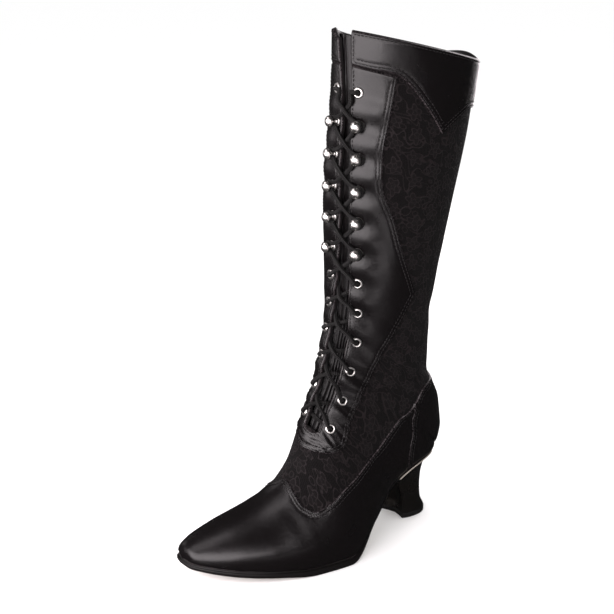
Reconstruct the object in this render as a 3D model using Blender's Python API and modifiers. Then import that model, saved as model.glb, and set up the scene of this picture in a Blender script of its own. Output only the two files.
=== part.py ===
"""Lace-up calf boot of leather and lace fabric on a curved heel, for the left foot.

+X points to the toe, +Y to the outer side and +Z up. The origin is the centre of the heel's tread.
Sizes are in millimetres and become metres as each mesh is made.
"""
from collections import namedtuple
from math import pi

import bmesh
import bpy
import numpy as np
from mathutils import Matrix, Vector
from mathutils.geometry import delaunay_2d_cdt

MM = 0.001
WELD = 0.00001
BOOT = "lace_up_boot"

# Wall and layer thicknesses
WALL = 2.2
LEATHER = 1.2
BACKSTAY_LEATHER = 0.8
TONGUE_LEATHER = 2.0
INSOLE_BOARD = 2.0
GAP = 0.3
SOFT_GAP = 0.6
BACKSTAY_GAP = 0.8
TONGUE_GAP = 1.2

# Lacing: half gap of the throat and distance of the eyelets from the centre line by section number,
# spacing along the facing, cord radius, and how much nearer to the centre line the cord turns
THROAT_HALVES = ((7.2, 8.0), (14.5, 8.5), (17.0, 4.5), (19.0, 4.5), (20.0, 7.5))
LACING_HALVES = ((7.5, 16.5), (14.5, 16.5), (17.0, 11.5), (20.0, 11.5))
STATION_STEP = 23.8
STATION_COUNT = 12
HOOK_STATIONS = range(7, 12)
LACE_RADIUS = 1.5
LACE_INSET = 6.5
STRAND_STEPS = 3

# Section numbers of the main lines, counted along SECTIONS from the toe
THROAT_BASE = 7.2
FIRST_STATION = 7.72
TONGUE_BASE = 6.6
TONGUE_TOP = 19.93
SOLE_END = 12.0
COLLAR = 20.0

# Leather edges stay this far above the sole edge
EDGE_LIFT = 1.5

# The last: each section runs from a point on the front ridge (top) to one on the sole edge or the back (low);
# turn moves the centre line of the lacing towards the outer side
Section = namedtuple("Section", "top_x top_z low_x low_z centre outer inner sole_out sole_in "
                                "widest ridge under_z turn")
SECTIONS = (
    Section(207.0, 20.0, 208.5, 15.0, -13.0, 0.0, 0.0, 0.0, 0.0, 0.70, 1.00, 10.2, 0.000),
    Section(205.5, 22.5, 207.0, 14.7, -12.5, 10.5, 8.5, 9.5, 7.5, 0.72, 1.00, 9.8, 0.000),
    Section(196.5, 27.0, 199.5, 13.8, -11.0, 19.5, 15.5, 18.0, 14.0, 0.75, 0.95, 8.6, 0.000),
    Section(177.0, 35.0, 179.0, 11.6, -6.5, 32.0, 24.5, 30.5, 23.0, 0.78, 0.95, 6.0, 0.000),
    Section(152.0, 43.5, 152.0, 9.2, -1.0, 40.5, 32.5, 38.5, 30.5, 0.78, 0.98, 3.2, 0.000),
    Section(130.5, 57.0, 122.5, 6.9, 3.5, 44.5, 36.0, 42.0, 33.5, 0.74, 1.05, 0.0, 0.000),
    Section(116.0, 78.0, 93.0, 7.0, 4.0, 46.0, 36.0, 44.0, 32.5, 0.68, 1.12, 0.0, 0.000),
    Section(107.0, 100.0, 62.0, 28.5, 2.5, 40.0, 37.0, 34.0, 27.0, 0.62, 1.15, 23.5, 0.050),
    Section(99.5, 119.0, 35.0, 49.0, 1.0, 34.0, 33.5, 26.0, 25.0, 0.58, 1.15, 44.5, 0.075),
    Section(94.0, 132.0, 13.0, 58.2, 0.5, 32.5, 32.0, 25.0, 25.0, 0.55, 1.10, 54.2, 0.085),
    Section(90.0, 143.0, -4.0, 61.8, 0.0, 32.0, 31.5, 21.5, 21.5, 0.53, 1.05, 58.0, 0.090),
    Section(88.0, 151.0, -12.8, 63.2, 0.0, 31.5, 31.0, 14.0, 14.0, 0.52, 1.00, 59.5, 0.090),
    Section(86.5, 157.0, -17.5, 64.2, 0.0, 31.0, 31.0, 0.0, 0.0, 0.52, 1.00, 60.5, 0.090),
    Section(85.0, 164.0, -26.0, 76.5, 0.0, 31.0, 31.0, 0.0, 0.0, 0.51, 1.00, 60.5, 0.090),
    Section(83.0, 173.0, -23.0, 100.0, 0.0, 31.0, 31.0, 0.0, 0.0, 0.50, 1.00, 60.5, 0.090),
    Section(80.0, 187.5, -10.5, 133.0, 0.0, 31.5, 31.5, 0.0, 0.0, 0.50, 1.00, 60.5, 0.090),
    Section(78.5, 211.5, -9.5, 177.5, 0.0, 35.0, 35.0, 0.0, 0.0, 0.50, 1.00, 60.5, 0.090),
    Section(78.0, 248.5, -16.0, 223.5, 0.0, 40.0, 40.0, 0.0, 0.0, 0.50, 1.00, 60.5, 0.090),
    Section(78.0, 294.5, -26.0, 272.5, 0.0, 44.0, 44.0, 0.0, 0.0, 0.50, 1.00, 60.5, 0.085),
    Section(75.0, 349.0, -37.0, 326.0, 0.0, 48.0, 48.0, 0.0, 0.0, 0.50, 1.00, 60.5, 0.060),
    Section(74.0, 405.5, -44.0, 376.0, 0.0, 50.0, 50.0, 0.0, 0.0, 0.50, 1.00, 60.5, 0.030),
)

# Rows of the upper's mesh between two sections, and columns from the throat to an edge
ROW_STEPS = (1, 2, 2, 2, 2, 2, 2, 2, 2, 2, 2, 2, 1, 1, 2, 2, 2, 1, 1, 2)
SIDE_COLUMNS = 10
TONGUE_COLUMNS = 7

# Heel block: rings from the seat down, with the height at the breast and at the back
HeelRing = namedtuple("HeelRing", "front_x back_x half_width front_z back_z")
HEEL_RINGS = (
    HeelRing(30.0, -16.5, 21.5, 46.0, 59.0),
    HeelRing(21.5, -13.5, 15.5, 37.0, 46.5),
    HeelRing(16.0, -11.5, 11.8, 28.0, 34.0),
    HeelRing(12.8, -11.0, 10.6, 19.5, 22.5),
    HeelRing(12.5, -11.3, 11.2, 12.0, 13.0),
    HeelRing(14.2, -14.0, 14.4, 4.8, 4.8),
)
HEEL_RING_STEPS = 2
HEEL_WIDEST = 0.35
BREAST_SHARE = 0.86
SEAT_SHARES = (0.05, 0.97)
TOP_LIFT = 4.5

# Outsole edge, top to bottom: reach past the sole edge, share of the top height, extra height
EdgeStep = namedtuple("EdgeStep", "reach top_share rise")
OUTSOLE_EDGE = (EdgeStep(1.0, 1, 0.0), EdgeStep(1.0, 1, -1.5), EdgeStep(2.6, 1, -2.0), EdgeStep(2.6, 0, 0.8),
                EdgeStep(1.6, 0, 0.0))
INSOLE_EDGE = (EdgeStep(-3.2, 1, 0.0), EdgeStep(-3.2, 0, 0.0))

# The outsole's reach grows less towards the seat: section number and share
REACH_SHARES = ((0.0, 1.0), (5.5, 1.0), (8.0, 0.4), (SOLE_END, 0.25))

# Turned pieces: radius and height pairs, from the top of the outer side round to the start
EYELET_PROFILE = ((2.3, 1.2), (3.4, 1.4), (4.4, 0.0), (2.3, 0.0))
HOOK_PROFILE = ((0.0, 9.6), (2.6, 9.2), (4.3, 7.8), (4.5, 6.4), (2.0, 5.2), (1.9, 1.6), (4.0, 1.0),
                (4.2, 0.0), (0.0, 0.0))
EYELET_SIDES = 8
HOOK_SIDES = 8

# Edges of the leather pieces on the last, as section number and side share
VAMP_FRONT = 5.38
VAMP_LINE = ((5.18, 0.19), (5.3, 0.25), (5.95, 0.312), (6.55, 0.334), (7.18, 0.374), (8.34, 0.438),
             (10.4, 0.447), (11.8, 0.465), (13.0, 0.499))
COUNTER_SEAM = ((13.0, 0.499), (10.8, 0.557), (9.77, 0.615), (9.01, 0.72), (8.65, 0.854))
COUNTER_FOOT = 8.5
COUNTER_SEAT = 11.9
COUNTER_BACK = (14.9, 12.12)
COUNTER_TOP = ((13.0, 0.499), (14.05, 0.592), (14.45, 0.696), (14.75, 0.853), (COUNTER_BACK[0], 1.0))
CUFF_SEAM_FRONT = 19.59
CUFF_SEAM = ((19.575, 0.139), (19.56, 0.262), (19.25, 0.381), (18.9, 0.483), (19.12, 0.575),
             (19.27, 0.664), (19.3, 1.0))
FACING_EDGE = ((19.1, 0.229), (18.35, 0.197), (18.0, 0.213), (17.7, 0.264), (17.1, 0.351), (16.4, 0.488),
               (15.5, 0.385), (14.3, 0.284), (13.2, 0.24), (11.0, 0.218), (8.8, 0.214), (7.5, 0.243), (6.68, 0.118))
FACING_TOP_SHARE = 0.257
FACING_BASE = 6.5
BACKSTAY_SHARE = 0.945
BACKSTAY_ENDS = (12.5, 14.75)
TONGUE_SHARES = ((TONGUE_BASE, 0.10), (10.0, 0.15), (COLLAR, 0.16))

# Half the gap where two leather pieces meet, in section number and side share
SEAM_GAP_T = 0.010
SEAM_GAP_U = 0.0015


def eased(table, at):
    """Values of a table's columns at fractional row numbers, without overshoot between its rows."""
    rows = np.array(table, float)
    at = np.atleast_1d(np.asarray(at, float))
    step = np.diff(rows, axis=0)
    before, after = step[:-1], step[1:]
    same_way = before * after > 0
    total = np.where(same_way, before + after, 1.0)
    slope = np.zeros_like(rows)
    slope[1:-1] = np.where(same_way, 2 * before * after / total, 0.0)
    slope[0], slope[-1] = step[0], step[-1]
    row = np.clip(at.astype(int), 0, len(rows) - 2)
    s = (at - row)[:, None]
    start = (2 * s**3 - 3 * s**2 + 1) * rows[row] + (s**3 - 2 * s**2 + s) * slope[row]
    end = (3 * s**2 - 2 * s**3) * rows[row + 1] + (s**3 - s**2) * slope[row + 1]
    return start + end


def last_rows(t):
    """The last's section values at section numbers t, as named columns."""
    return Section(*eased(SECTIONS, t).T)


def skin(t, u):
    """Points of the upper's outer skin; u is 0 on the ridge and +1 or -1 at the outer or inner lower edge."""
    t, u = np.broadcast_arrays(np.asarray(t, float), np.asarray(u, float))
    row = Section(*(column.reshape(t.shape) for column in last_rows(t.ravel())))
    side = u + row.turn * (1 - u**2)**2
    share = np.abs(side)
    width = np.where(side >= 0, row.outer, row.inner)
    sole = np.where(side >= 0, row.sole_out, row.sole_in)
    over = pi * np.minimum(share, 0.5)
    under = pi * np.maximum(share - 0.5, 0.0)
    upper_half = share <= 0.5
    chord = np.where(upper_half, row.widest * (1 - np.cos(over)**row.ridge),
                     row.widest + (1 - row.widest) * np.sin(under))
    half = np.where(upper_half, width * np.sin(over)**row.ridge, sole + (width - sole) * np.cos(under))
    return np.stack([row.top_x + (row.low_x - row.top_x) * chord,
                     row.centre + np.sign(side) * half,
                     row.top_z + (row.low_z - row.top_z) * chord], -1)


def skin_normal(t, u):
    """Outward normals of the skin; where both sides meet they lie in the middle plane."""
    t, u = np.broadcast_arrays(np.asarray(t, float), np.asarray(u, float))
    small = 0.004
    near_t = np.maximum(t, small)
    u_low, u_high = np.clip(u - small, -1, 1), np.clip(u + small, -1, 1)
    along = skin(near_t + small, u) - skin(near_t - small, u)
    across = skin(near_t, u_high) - skin(near_t, u_low)
    normal = np.cross(across, along)
    closed = (t <= 0) | ((np.abs(u) > 0.999) & (t >= SOLE_END))
    normal[..., 1] = np.where(closed, 0.0, normal[..., 1])
    return normal / np.linalg.norm(normal, axis=-1, keepdims=True)


def share_at(t, distance):
    """Side share at which the skin is a distance from the centre line, measured along the skin."""
    t = np.atleast_1d(np.asarray(t, float))
    shares = np.linspace(0.0, 0.25, 51)
    steps = np.linalg.norm(np.diff(skin(t[:, None], shares), axis=1), axis=2)
    run = np.concatenate([np.zeros((len(t), 1)), np.cumsum(steps, axis=1)], 1)
    return np.array([np.interp(d, row, shares) for d, row in zip(np.broadcast_to(distance, t.shape), run)])


def throat_share(t):
    """Side share of the throat's edge at section numbers t."""
    return share_at(t, np.interp(t, *zip(*THROAT_HALVES)))


def lacing_share(t, inset=0.0):
    """Side share of the eyelets and hooks, or of places nearer to the centre line by an inset."""
    return share_at(t, np.interp(t, *zip(*LACING_HALVES)) - inset)


def edge_share(t, lift=EDGE_LIFT):
    """Side share at which the skin stands a little above the sole edge."""
    row = last_rows(t)
    depth = (1 - row.widest) * (row.top_z - row.low_z)
    return 0.5 + np.arcsin(np.clip(1 - lift / depth, 0, 1)) / pi


# The upper's mesh rows and columns
ROW_T = np.concatenate([[0.0]] + [i + np.arange(1, n + 1) / n for i, n in enumerate(ROW_STEPS)])
THROAT_ROW = int(np.searchsorted(ROW_T, THROAT_BASE))
ROW_T[THROAT_ROW] = THROAT_BASE
THROAT_SHARE = throat_share(ROW_T)
MIDDLE = SIDE_COLUMNS + 1


def column_shares(throat):
    """Side shares of one row of columns, from the outer edge over the throat to the inner edge."""
    outer = np.linspace(1.0, throat, SIDE_COLUMNS + 1)
    return np.concatenate([outer, [0.0], -outer[::-1]])


COLUMN_U = np.array([column_shares(throat) for throat in THROAT_SHARE])
SKIN_GRID = skin(ROW_T[:, None], COLUMN_U)
NORMAL_GRID = skin_normal(ROW_T[:, None], COLUMN_U)


def grid_place(t, u):
    """Fractional row and column of the upper's mesh at section t and side share u."""
    row = float(np.interp(t, ROW_T, np.arange(len(ROW_T))))
    throat = float(np.interp(t, ROW_T, THROAT_SHARE))
    if abs(u) < throat:
        return row, MIDDLE - u / throat
    beyond = (abs(u) - throat) / (1 - throat) * SIDE_COLUMNS
    return row, MIDDLE + (-1 if u > 0 else 1) * (1 + beyond)


def on_facets(places, lift):
    """Points a height above the upper's mesh at fractional rows and columns."""
    places = np.asarray(places, float)
    row = np.clip(places[:, 0].astype(int), 0, len(ROW_T) - 2)
    column = np.clip(places[:, 1].astype(int), 0, 2 * MIDDLE - 1)
    a = (places[:, 0] - row)[:, None]
    b = (places[:, 1] - column)[:, None]

    def mix(grid):
        near, far = grid[row, column], grid[row + 1, column + 1]
        by_row = near + a * (grid[row + 1, column] - near) + b * (far - grid[row + 1, column])
        by_column = near + b * (grid[row, column + 1] - near) + a * (far - grid[row, column + 1])
        return np.where(a >= b, by_row, by_column)

    normal = mix(NORMAL_GRID)
    return mix(SKIN_GRID) + lift * normal, normal


# Scene helpers


def new_collection(name):
    """A collection linked to the scene."""
    made = bpy.data.collections.new(name)
    bpy.context.scene.collection.children.link(made)
    return made


def finish_material(name, colour, roughness, metallic=0.0):
    """A plain Principled material."""
    material = bpy.data.materials.new(name)
    material.use_nodes = True
    shader = material.node_tree.nodes["Principled BSDF"]
    shader.inputs["Base Color"].default_value = (*colour, 1.0)
    shader.inputs["Roughness"].default_value = roughness
    shader.inputs["Metallic"].default_value = metallic
    return material


def add_object(name, data, colour, roughness, metallic=0.0):
    """An object in the boot's collection with a material of its own."""
    made = bpy.data.objects.new(name, data)
    data.materials.append(finish_material(f"{name}_finish", colour, roughness, metallic))
    bpy.data.collections[BOOT].objects.link(made)
    return made


def mesh_from(name, points, faces):
    """A welded mesh in metres from points in millimetres, with flat faces dropped."""
    mesh = bpy.data.meshes.new(name)
    mesh.from_pydata([tuple(p * MM) for p in points], [], faces)
    work = bmesh.new()
    work.from_mesh(mesh)
    bmesh.ops.remove_doubles(work, verts=work.verts, dist=WELD)
    bmesh.ops.dissolve_degenerate(work, edges=work.edges, dist=WELD)
    work.to_mesh(mesh)
    work.free()
    mesh.shade_smooth()
    return mesh


def grid_faces(rows, columns, ring=False):
    """Quads of a grid of points; ring joins the last column to the first."""
    last = columns if ring else columns - 1
    return [(i * columns + j, i * columns + (j + 1) % columns, (i + 1) * columns + (j + 1) % columns,
             (i + 1) * columns + j) for i in range(rows - 1) for j in range(last)]


def add_shell(made, thickness, offset):
    """Solidify an open surface; offset 1 grows outwards and -1 inwards."""
    shell = made.modifiers.new("thickness", "SOLIDIFY")
    shell.thickness = thickness * MM
    shell.offset = offset
    shell.use_even_offset = True
    shell.thickness_clamp = 1.0
    return shell


def inside_outline(point, outline):
    """Whether a point of the plane lies inside a closed outline."""
    x, y = point
    found = False
    for (x0, y0), (x1, y1) in zip(outline, outline[1:] + outline[:1]):
        if (y0 > y) != (y1 > y) and x < x0 + (y - y0) * (x1 - x0) / (y1 - y0):
            found = not found
    return found


def refine(path, most=0.8):
    """A path with points added so that no step in section or side share is long."""
    points = [path[0]]
    for (t0, u0), (t1, u1) in zip(path, path[1:]):
        count = max(1, int(np.ceil(max(abs(t1 - t0) / most, abs(u1 - u0) * 4 / most))))
        points += [(t0 + (t1 - t0) * k / count, u0 + (u1 - u0) * k / count) for k in range(1, count + 1)]
    return points


def mirrored(path):
    """The same path on the inner side, run the other way."""
    return [(t, -u) for t, u in reversed(path)]


def sole_edge_path(first, last):
    """A path just above the sole edge between two sections."""
    t = np.linspace(first, last, max(2, int(abs(last - first) * 2) + 1))
    return list(zip(t, edge_share(t)))


def cut_piece(outline, lift):
    """Points and triangles of a piece draped on the upper inside an outline of sections and shares."""
    border = [grid_place(t, u) for t, u in outline]
    low = np.floor(np.min(border, axis=0)).astype(int)
    high = np.ceil(np.max(border, axis=0)).astype(int)
    points, edges = list(border), [(i, (i + 1) % len(border)) for i in range(len(border))]
    rows, columns = range(low[0], high[0] + 1), range(low[1], high[1] + 1)
    lines = [((row, low[1]), (row, high[1])) for row in rows]
    lines += [((low[0], column), (high[0], column)) for column in columns]
    for slant in range(low[0] - high[1], high[0] - low[1] + 1):
        start, end = max(low[0], low[1] + slant), min(high[0], high[1] + slant)
        lines.append(((start, start - slant), (end, end - slant)))
    for line in lines:
        edges.append((len(points), len(points) + 1))
        points += line
    result = delaunay_2d_cdt([Vector(p) for p in points], edges, [], 0, 1e-5)
    places, triangles = result[0], result[2]
    kept = [tri for tri in triangles
            if inside_outline(np.mean([places[k] for k in tri], axis=0), border)]
    return on_facets([tuple(p) for p in places], lift)[0], kept


def drape(name, outlines, colour, roughness, thickness=LEATHER, lift=GAP):
    """A leather piece cut to one or two outlines, welded where they meet, with its thickness outwards."""
    points, faces = np.empty((0, 3)), []
    for outline in outlines:
        some_points, some_faces = cut_piece(outline, lift)
        faces += [[k + len(points) for k in face] for face in some_faces]
        points = np.concatenate([points, some_points])
    mesh = mesh_from(name, points, faces)
    loose_free(mesh)
    made = add_object(name, mesh, colour, roughness)
    add_shell(made, thickness, 1.0)
    return made


def loose_free(mesh):
    """Drops vertices without faces and turns the faces outwards from the boot's axis."""
    work = bmesh.new()
    work.from_mesh(mesh)
    bmesh.ops.delete(work, geom=[v for v in work.verts if not v.link_faces], context="VERTS")
    places = [Vector(p) for p in SKIN_GRID.reshape(-1, 3) * MM]
    face = max(work.faces, key=lambda f: f.calc_area())
    centre = face.calc_center_median()
    nearest = min(range(len(places)), key=lambda k: (places[k] - centre).length)
    if face.normal.dot(Vector(NORMAL_GRID.reshape(-1, 3)[nearest])) < 0:
        bmesh.ops.reverse_faces(work, faces=work.faces)
    work.to_mesh(mesh)
    work.free()


# The pieces


BLACK = (0.012, 0.011, 0.012)
FABRIC_BLACK = (0.016, 0.013, 0.015)
NICKEL = (0.72, 0.70, 0.67)
SOLE_TAN = (0.35, 0.31, 0.27)


def build_upper():
    """Lining and lace fabric as one wall, open at the collar, the throat and underneath."""
    rows, columns = COLUMN_U.shape
    faces = []
    for face in grid_faces(rows, columns):
        row, column = divmod(face[0], columns)
        if row >= THROAT_ROW and column in (MIDDLE - 1, MIDDLE):
            continue
        near, beside, far, behind = face
        faces += [(near, beside, far), (near, far, behind)]
    mesh = mesh_from("upper", SKIN_GRID.reshape(-1, 3), faces)
    loose_free(mesh)
    made = add_object("upper", mesh, FABRIC_BLACK, 0.85)
    add_shell(made, WALL, -1.0)


def build_leather():
    """Vamp, counter, backstay, cuff and facing."""
    line = refine(VAMP_LINE)[:-1]
    seam = refine([(t - SEAM_GAP_T, u - SEAM_GAP_U) for t, u in COUNTER_SEAM])
    half = line + seam + sole_edge_path(COUNTER_FOOT - SEAM_GAP_T, 0.0)
    drape("vamp", [[(VAMP_FRONT, 0.0)] + half + mirrored(half)], BLACK, 0.3)

    seam = refine([(t + SEAM_GAP_T, u + SEAM_GAP_U) for t, u in reversed(COUNTER_SEAM)])
    top = refine(COUNTER_TOP)[1:]
    back = refine([(t, 1.0) for t in COUNTER_BACK])[1:]
    half = seam + top + back + sole_edge_path(COUNTER_SEAT, COUNTER_FOOT + SEAM_GAP_T)
    drape("counter", [half, mirrored(half)], BLACK, 0.3)

    low, high = BACKSTAY_ENDS
    half = refine([(low, BACKSTAY_SHARE), (high, BACKSTAY_SHARE), (high, 1.0), (low, 1.0)], 1.0)
    drape("backstay", [half, mirrored(half)], BLACK, 0.3, BACKSTAY_LEATHER,
          GAP + LEATHER + BACKSTAY_GAP)

    corner = (CUFF_SEAM_FRONT, float(throat_share(CUFF_SEAM_FRONT)[0]))
    seam = refine([corner, *CUFF_SEAM])
    half = seam + refine([(COLLAR, 1.0), (COLLAR, float(throat_share(COLLAR)[0]))])
    drape("cuff", [half, mirrored(half)], BLACK, 0.3)

    top_t = np.interp(FACING_TOP_SHARE, [p[1] for p in CUFF_SEAM[:3]], [p[0] for p in CUFF_SEAM[:3]])
    seam = [corner, CUFF_SEAM[0], (top_t, FACING_TOP_SHARE)]
    seam = [(t - SEAM_GAP_T, u) for t, u in seam]
    outer = refine(seam + list(FACING_EDGE))
    gap_t = [t for t in ROW_T if THROAT_BASE <= t < seam[0][0]]
    half = list(zip(gap_t, throat_share(gap_t))) + outer
    drape("facing", [half + [(FACING_BASE, 0.0)] + mirrored(half)], BLACK, 0.3)


def build_tongue():
    """A strip behind the lacing, just inside the wall."""
    t = np.array([TONGUE_BASE, *(t for t in ROW_T if TONGUE_BASE < t < TONGUE_TOP), TONGUE_TOP])
    half = np.interp(t, *zip(*TONGUE_SHARES))
    u = half[:, None] * np.linspace(1, -1, TONGUE_COLUMNS)
    points = skin(t[:, None], u) - (WALL + TONGUE_GAP) * skin_normal(t[:, None], u)
    mesh = mesh_from("tongue", points.reshape(-1, 3), grid_faces(*u.shape))
    loose_free(mesh)
    made = add_object("tongue", mesh, BLACK, 0.55)
    add_shell(made, TONGUE_LEATHER, -1.0)


def sole_rim(t, reach):
    """Outer and inner points in plan, a reach outside the sole edge."""
    small = 0.01
    sides = []
    for sign in (1, -1):
        def edge(at):
            row = last_rows(np.clip(at, 0, SOLE_END))
            half = row.sole_out if sign > 0 else -row.sole_in
            return np.stack([row.low_x, row.centre + half], -1)
        way = edge(t + small) - edge(t - small)
        way /= np.linalg.norm(way, axis=1, keepdims=True)
        normal = sign * np.stack([way[:, 1], -way[:, 0]], -1)
        normal[t <= 0] = (1, 0)
        normal[t >= SOLE_END] = (-1, 0)
        share = np.interp(t, *zip(*REACH_SHARES)) if reach > 0 else np.ones_like(t)
        sides.append(edge(t) + (reach * share)[:, None] * normal)
    return sides


def sole_slab(name, edge_steps, t, top, bottom, colour, roughness):
    """A closed slab along the sole: each section is a ring down the outer edge and up the inner one."""
    outer, inner = [], []
    for step in edge_steps:
        height = (top if step.top_share else bottom) + step.rise
        for ring, plan in zip((outer, inner), sole_rim(t, step.reach)):
            ring.append(np.concatenate([plan, height[:, None]], 1))
    rings = np.stack(outer + inner[::-1], 1)
    rows, columns, _ = rings.shape
    mesh = mesh_from(name, rings.reshape(-1, 3), grid_faces(rows, columns, ring=True))
    close_outwards(mesh)
    return add_object(name, mesh, colour, roughness)


def close_outwards(mesh):
    """Fills any open ends and points the faces out."""
    work = bmesh.new()
    work.from_mesh(mesh)
    bmesh.ops.holes_fill(work, edges=[e for e in work.edges if e.is_boundary])
    bmesh.ops.recalc_face_normals(work, faces=work.faces)
    work.to_mesh(mesh)
    work.free()


def build_soles():
    """Outsole from toe to seat, and the insole lying on it."""
    t = ROW_T[ROW_T <= SOLE_END]
    row = last_rows(t)
    sole_slab("outsole", OUTSOLE_EDGE, t, row.low_z - GAP, row.under_z, SOLE_TAN, 0.6)
    sole_slab("insole", INSOLE_EDGE, t, row.low_z + INSOLE_BOARD, row.low_z, BLACK, 0.5)


def heel_outline(shares):
    """Half width of the heel's plan, as a share, from the breast (0) to the back (1)."""
    front = 1 - (1 - BREAST_SHARE) * ((HEEL_WIDEST - shares) / HEEL_WIDEST)**2
    back = np.sqrt(np.clip(1 - ((shares - HEEL_WIDEST) / (1 - HEEL_WIDEST))**2, 0, 1))
    return np.where(shares < HEEL_WIDEST, front, back)


def ring_points(ring, shares, height):
    """One ring of the heel: down the outer side from the breast to the back, and up the inner side."""
    x = ring.front_x + (ring.back_x - ring.front_x) * shares
    y = ring.half_width * heel_outline(shares)
    outer = np.stack([x, y, height], 1)
    return np.concatenate([outer, (outer * (1, -1, 1))[-2::-1]])


def build_heel():
    """Curved heel block under the seat, and the tread piece under it."""
    seat = HEEL_RINGS[0]
    sole = last_rows(ROW_T[ROW_T <= SOLE_END])
    places = (seat.front_x - sole.low_x) / (seat.front_x - seat.back_x)
    shares = np.concatenate([[0.0], places[(places > SEAT_SHARES[0]) & (places < SEAT_SHARES[1])], [1.0]])
    rings = []
    levels = len(HEEL_RINGS) - 1
    for at in np.linspace(0, levels, levels * HEEL_RING_STEPS + 1):
        ring = HeelRing(*eased(HEEL_RINGS, at)[0])
        height = ring.front_z + (ring.back_z - ring.front_z) * shares
        if at == 0:
            x = ring.front_x + (ring.back_x - ring.front_x) * shares
            height = np.interp(x, sole.low_x[::-1], sole.under_z[::-1]) - GAP
        rings.append(ring_points(ring, shares, height))
    add_ring_stack("heel", rings, BLACK, 0.25)
    foot = HEEL_RINGS[-1]
    flat = np.ones_like(shares)
    rings = [ring_points(foot, shares, flat * TOP_LIFT), ring_points(foot, shares, flat * 0.0)]
    add_ring_stack("top_lift", rings, BLACK, 0.6)


def add_ring_stack(name, rings, colour, roughness):
    """A solid through a stack of like rings, with strips across its two ends."""
    count = len(rings[0])
    faces = grid_faces(len(rings), count, ring=True)
    last = (len(rings) - 1) * count
    for k in range(count // 2):
        across = (k, k + 1, count - 2 - k, count - 1 - k)
        faces.append(across[::-1])
        faces.append([last + c for c in across])
    mesh = mesh_from(name, np.concatenate(rings), faces)
    close_outwards(mesh)
    add_object(name, mesh, colour, roughness)


def stations():
    """Section numbers of the lacing stations, evenly spaced along the facing from the lowest."""
    t = np.arange(FIRST_STATION, COLLAR, 0.02)
    path = skin(t, lacing_share(t))
    run = np.concatenate([[0], np.cumsum(np.linalg.norm(np.diff(path, axis=0), axis=1))])
    return np.interp(STATION_STEP * np.arange(STATION_COUNT), run, t)


def build_turned(name, profile, sides, t, u):
    """A turned metal piece standing on the facing."""
    mesh = bpy.data.meshes.new(name)
    closed = profile[0][0] > 0
    edges = [(k, k + 1) for k in range(len(profile) - 1)] + ([(len(profile) - 1, 0)] if closed else [])
    mesh.from_pydata([(r * MM, 0, z * MM) for r, z in profile], edges, [])
    made = add_object(name, mesh, NICKEL, 0.22, 1.0)
    turn = made.modifiers.new("turn", "SCREW")
    turn.steps = turn.render_steps = sides
    turn.use_merge_vertices = True
    turn.merge_threshold = WELD
    place, normal = on_facets([grid_place(t, u)], GAP + LEATHER + SOFT_GAP)
    axis = Vector(normal[0]).to_track_quat("Z", "Y").to_matrix().to_4x4()
    made.matrix_world = Matrix.Translation(Vector(place[0]) * MM) @ axis
    return made


def build_fastenings():
    """Eyelets low down and at the top, ball hooks between them, on both sides."""
    numbers = {"eyelet": 0, "hook": 0}
    for number, t in enumerate(stations(), 1):
        kind = "hook" if number in HOOK_STATIONS else "eyelet"
        numbers[kind] += 1
        profile, sides = (HOOK_PROFILE, HOOK_SIDES) if kind == "hook" else (EYELET_PROFILE, EYELET_SIDES)
        share = float(lacing_share(t)[0])
        build_turned(f"{kind}_outer_{numbers[kind]}", profile, sides, t, share)
        build_turned(f"{kind}_inner_{numbers[kind]}", profile, sides, t, -share)


def strand_tube(name, first_side):
    """One lace running from side to side between the stations, as a closed tube mesh."""
    lift = 2 * GAP + LEATHER + SOFT_GAP + LACE_RADIUS
    t_all = stations()
    route = []
    for k in range(STATION_COUNT - 1):
        side = first_side if k % 2 == 0 else -first_side
        for step in range(STRAND_STEPS + (k == STATION_COUNT - 2)):
            f = step / STRAND_STEPS
            t = t_all[k] + (t_all[k + 1] - t_all[k]) * f
            u = side * (1 - 2 * f) * float(lacing_share(t, LACE_INSET)[0])
            route.append(grid_place(t, u))
    points, _ = on_facets(route, lift)
    curve = bpy.data.curves.new(name, "CURVE")
    curve.dimensions = "3D"
    curve.bevel_depth = LACE_RADIUS * MM
    curve.bevel_resolution = 1
    curve.use_fill_caps = True
    spline = curve.splines.new("POLY")
    spline.points.add(len(points) - 1)
    for point, place in zip(spline.points, points):
        point.co = (*(place * MM), 1.0)
    guide = bpy.data.objects.new(name, curve)
    bpy.context.scene.collection.objects.link(guide)
    bpy.context.view_layer.update()
    mesh = bpy.data.meshes.new_from_object(guide.evaluated_get(bpy.context.evaluated_depsgraph_get()))
    bpy.data.objects.remove(guide)
    work = bmesh.new()
    work.from_mesh(mesh)
    bmesh.ops.remove_doubles(work, verts=work.verts, dist=WELD)
    bmesh.ops.recalc_face_normals(work, faces=work.faces)
    work.to_mesh(mesh)
    work.free()
    return mesh


def build_lace():
    """The two ends of the lace, joined where they cross over the tongue."""
    lace = add_object("lace", strand_tube("lace", 1), BLACK, 0.7)
    other = bpy.data.objects.new("lace_second_end", strand_tube("lace_second_end", -1))
    bpy.data.collections[f"{BOOT}_cutters"].objects.link(other)
    other.hide_render = True
    other.display_type = "WIRE"
    join = lace.modifiers.new("crossings", "BOOLEAN")
    join.operation = "UNION"
    join.object = other


def main():
    """Clears the scene and builds the boot."""
    for old in list(bpy.data.objects):
        bpy.data.objects.remove(old)
    new_collection(BOOT)
    new_collection(f"{BOOT}_cutters")
    build_upper()
    build_leather()
    build_tongue()
    build_soles()
    build_heel()
    build_fastenings()
    build_lace()


main()
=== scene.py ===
"""Looks of the lace-up boot: leather, lace fabric, cord, metal, sole, and the studio around it.

Shapes are worked out in millimetres on the same last as the solids and become metres as each mesh is made.
"""

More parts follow.
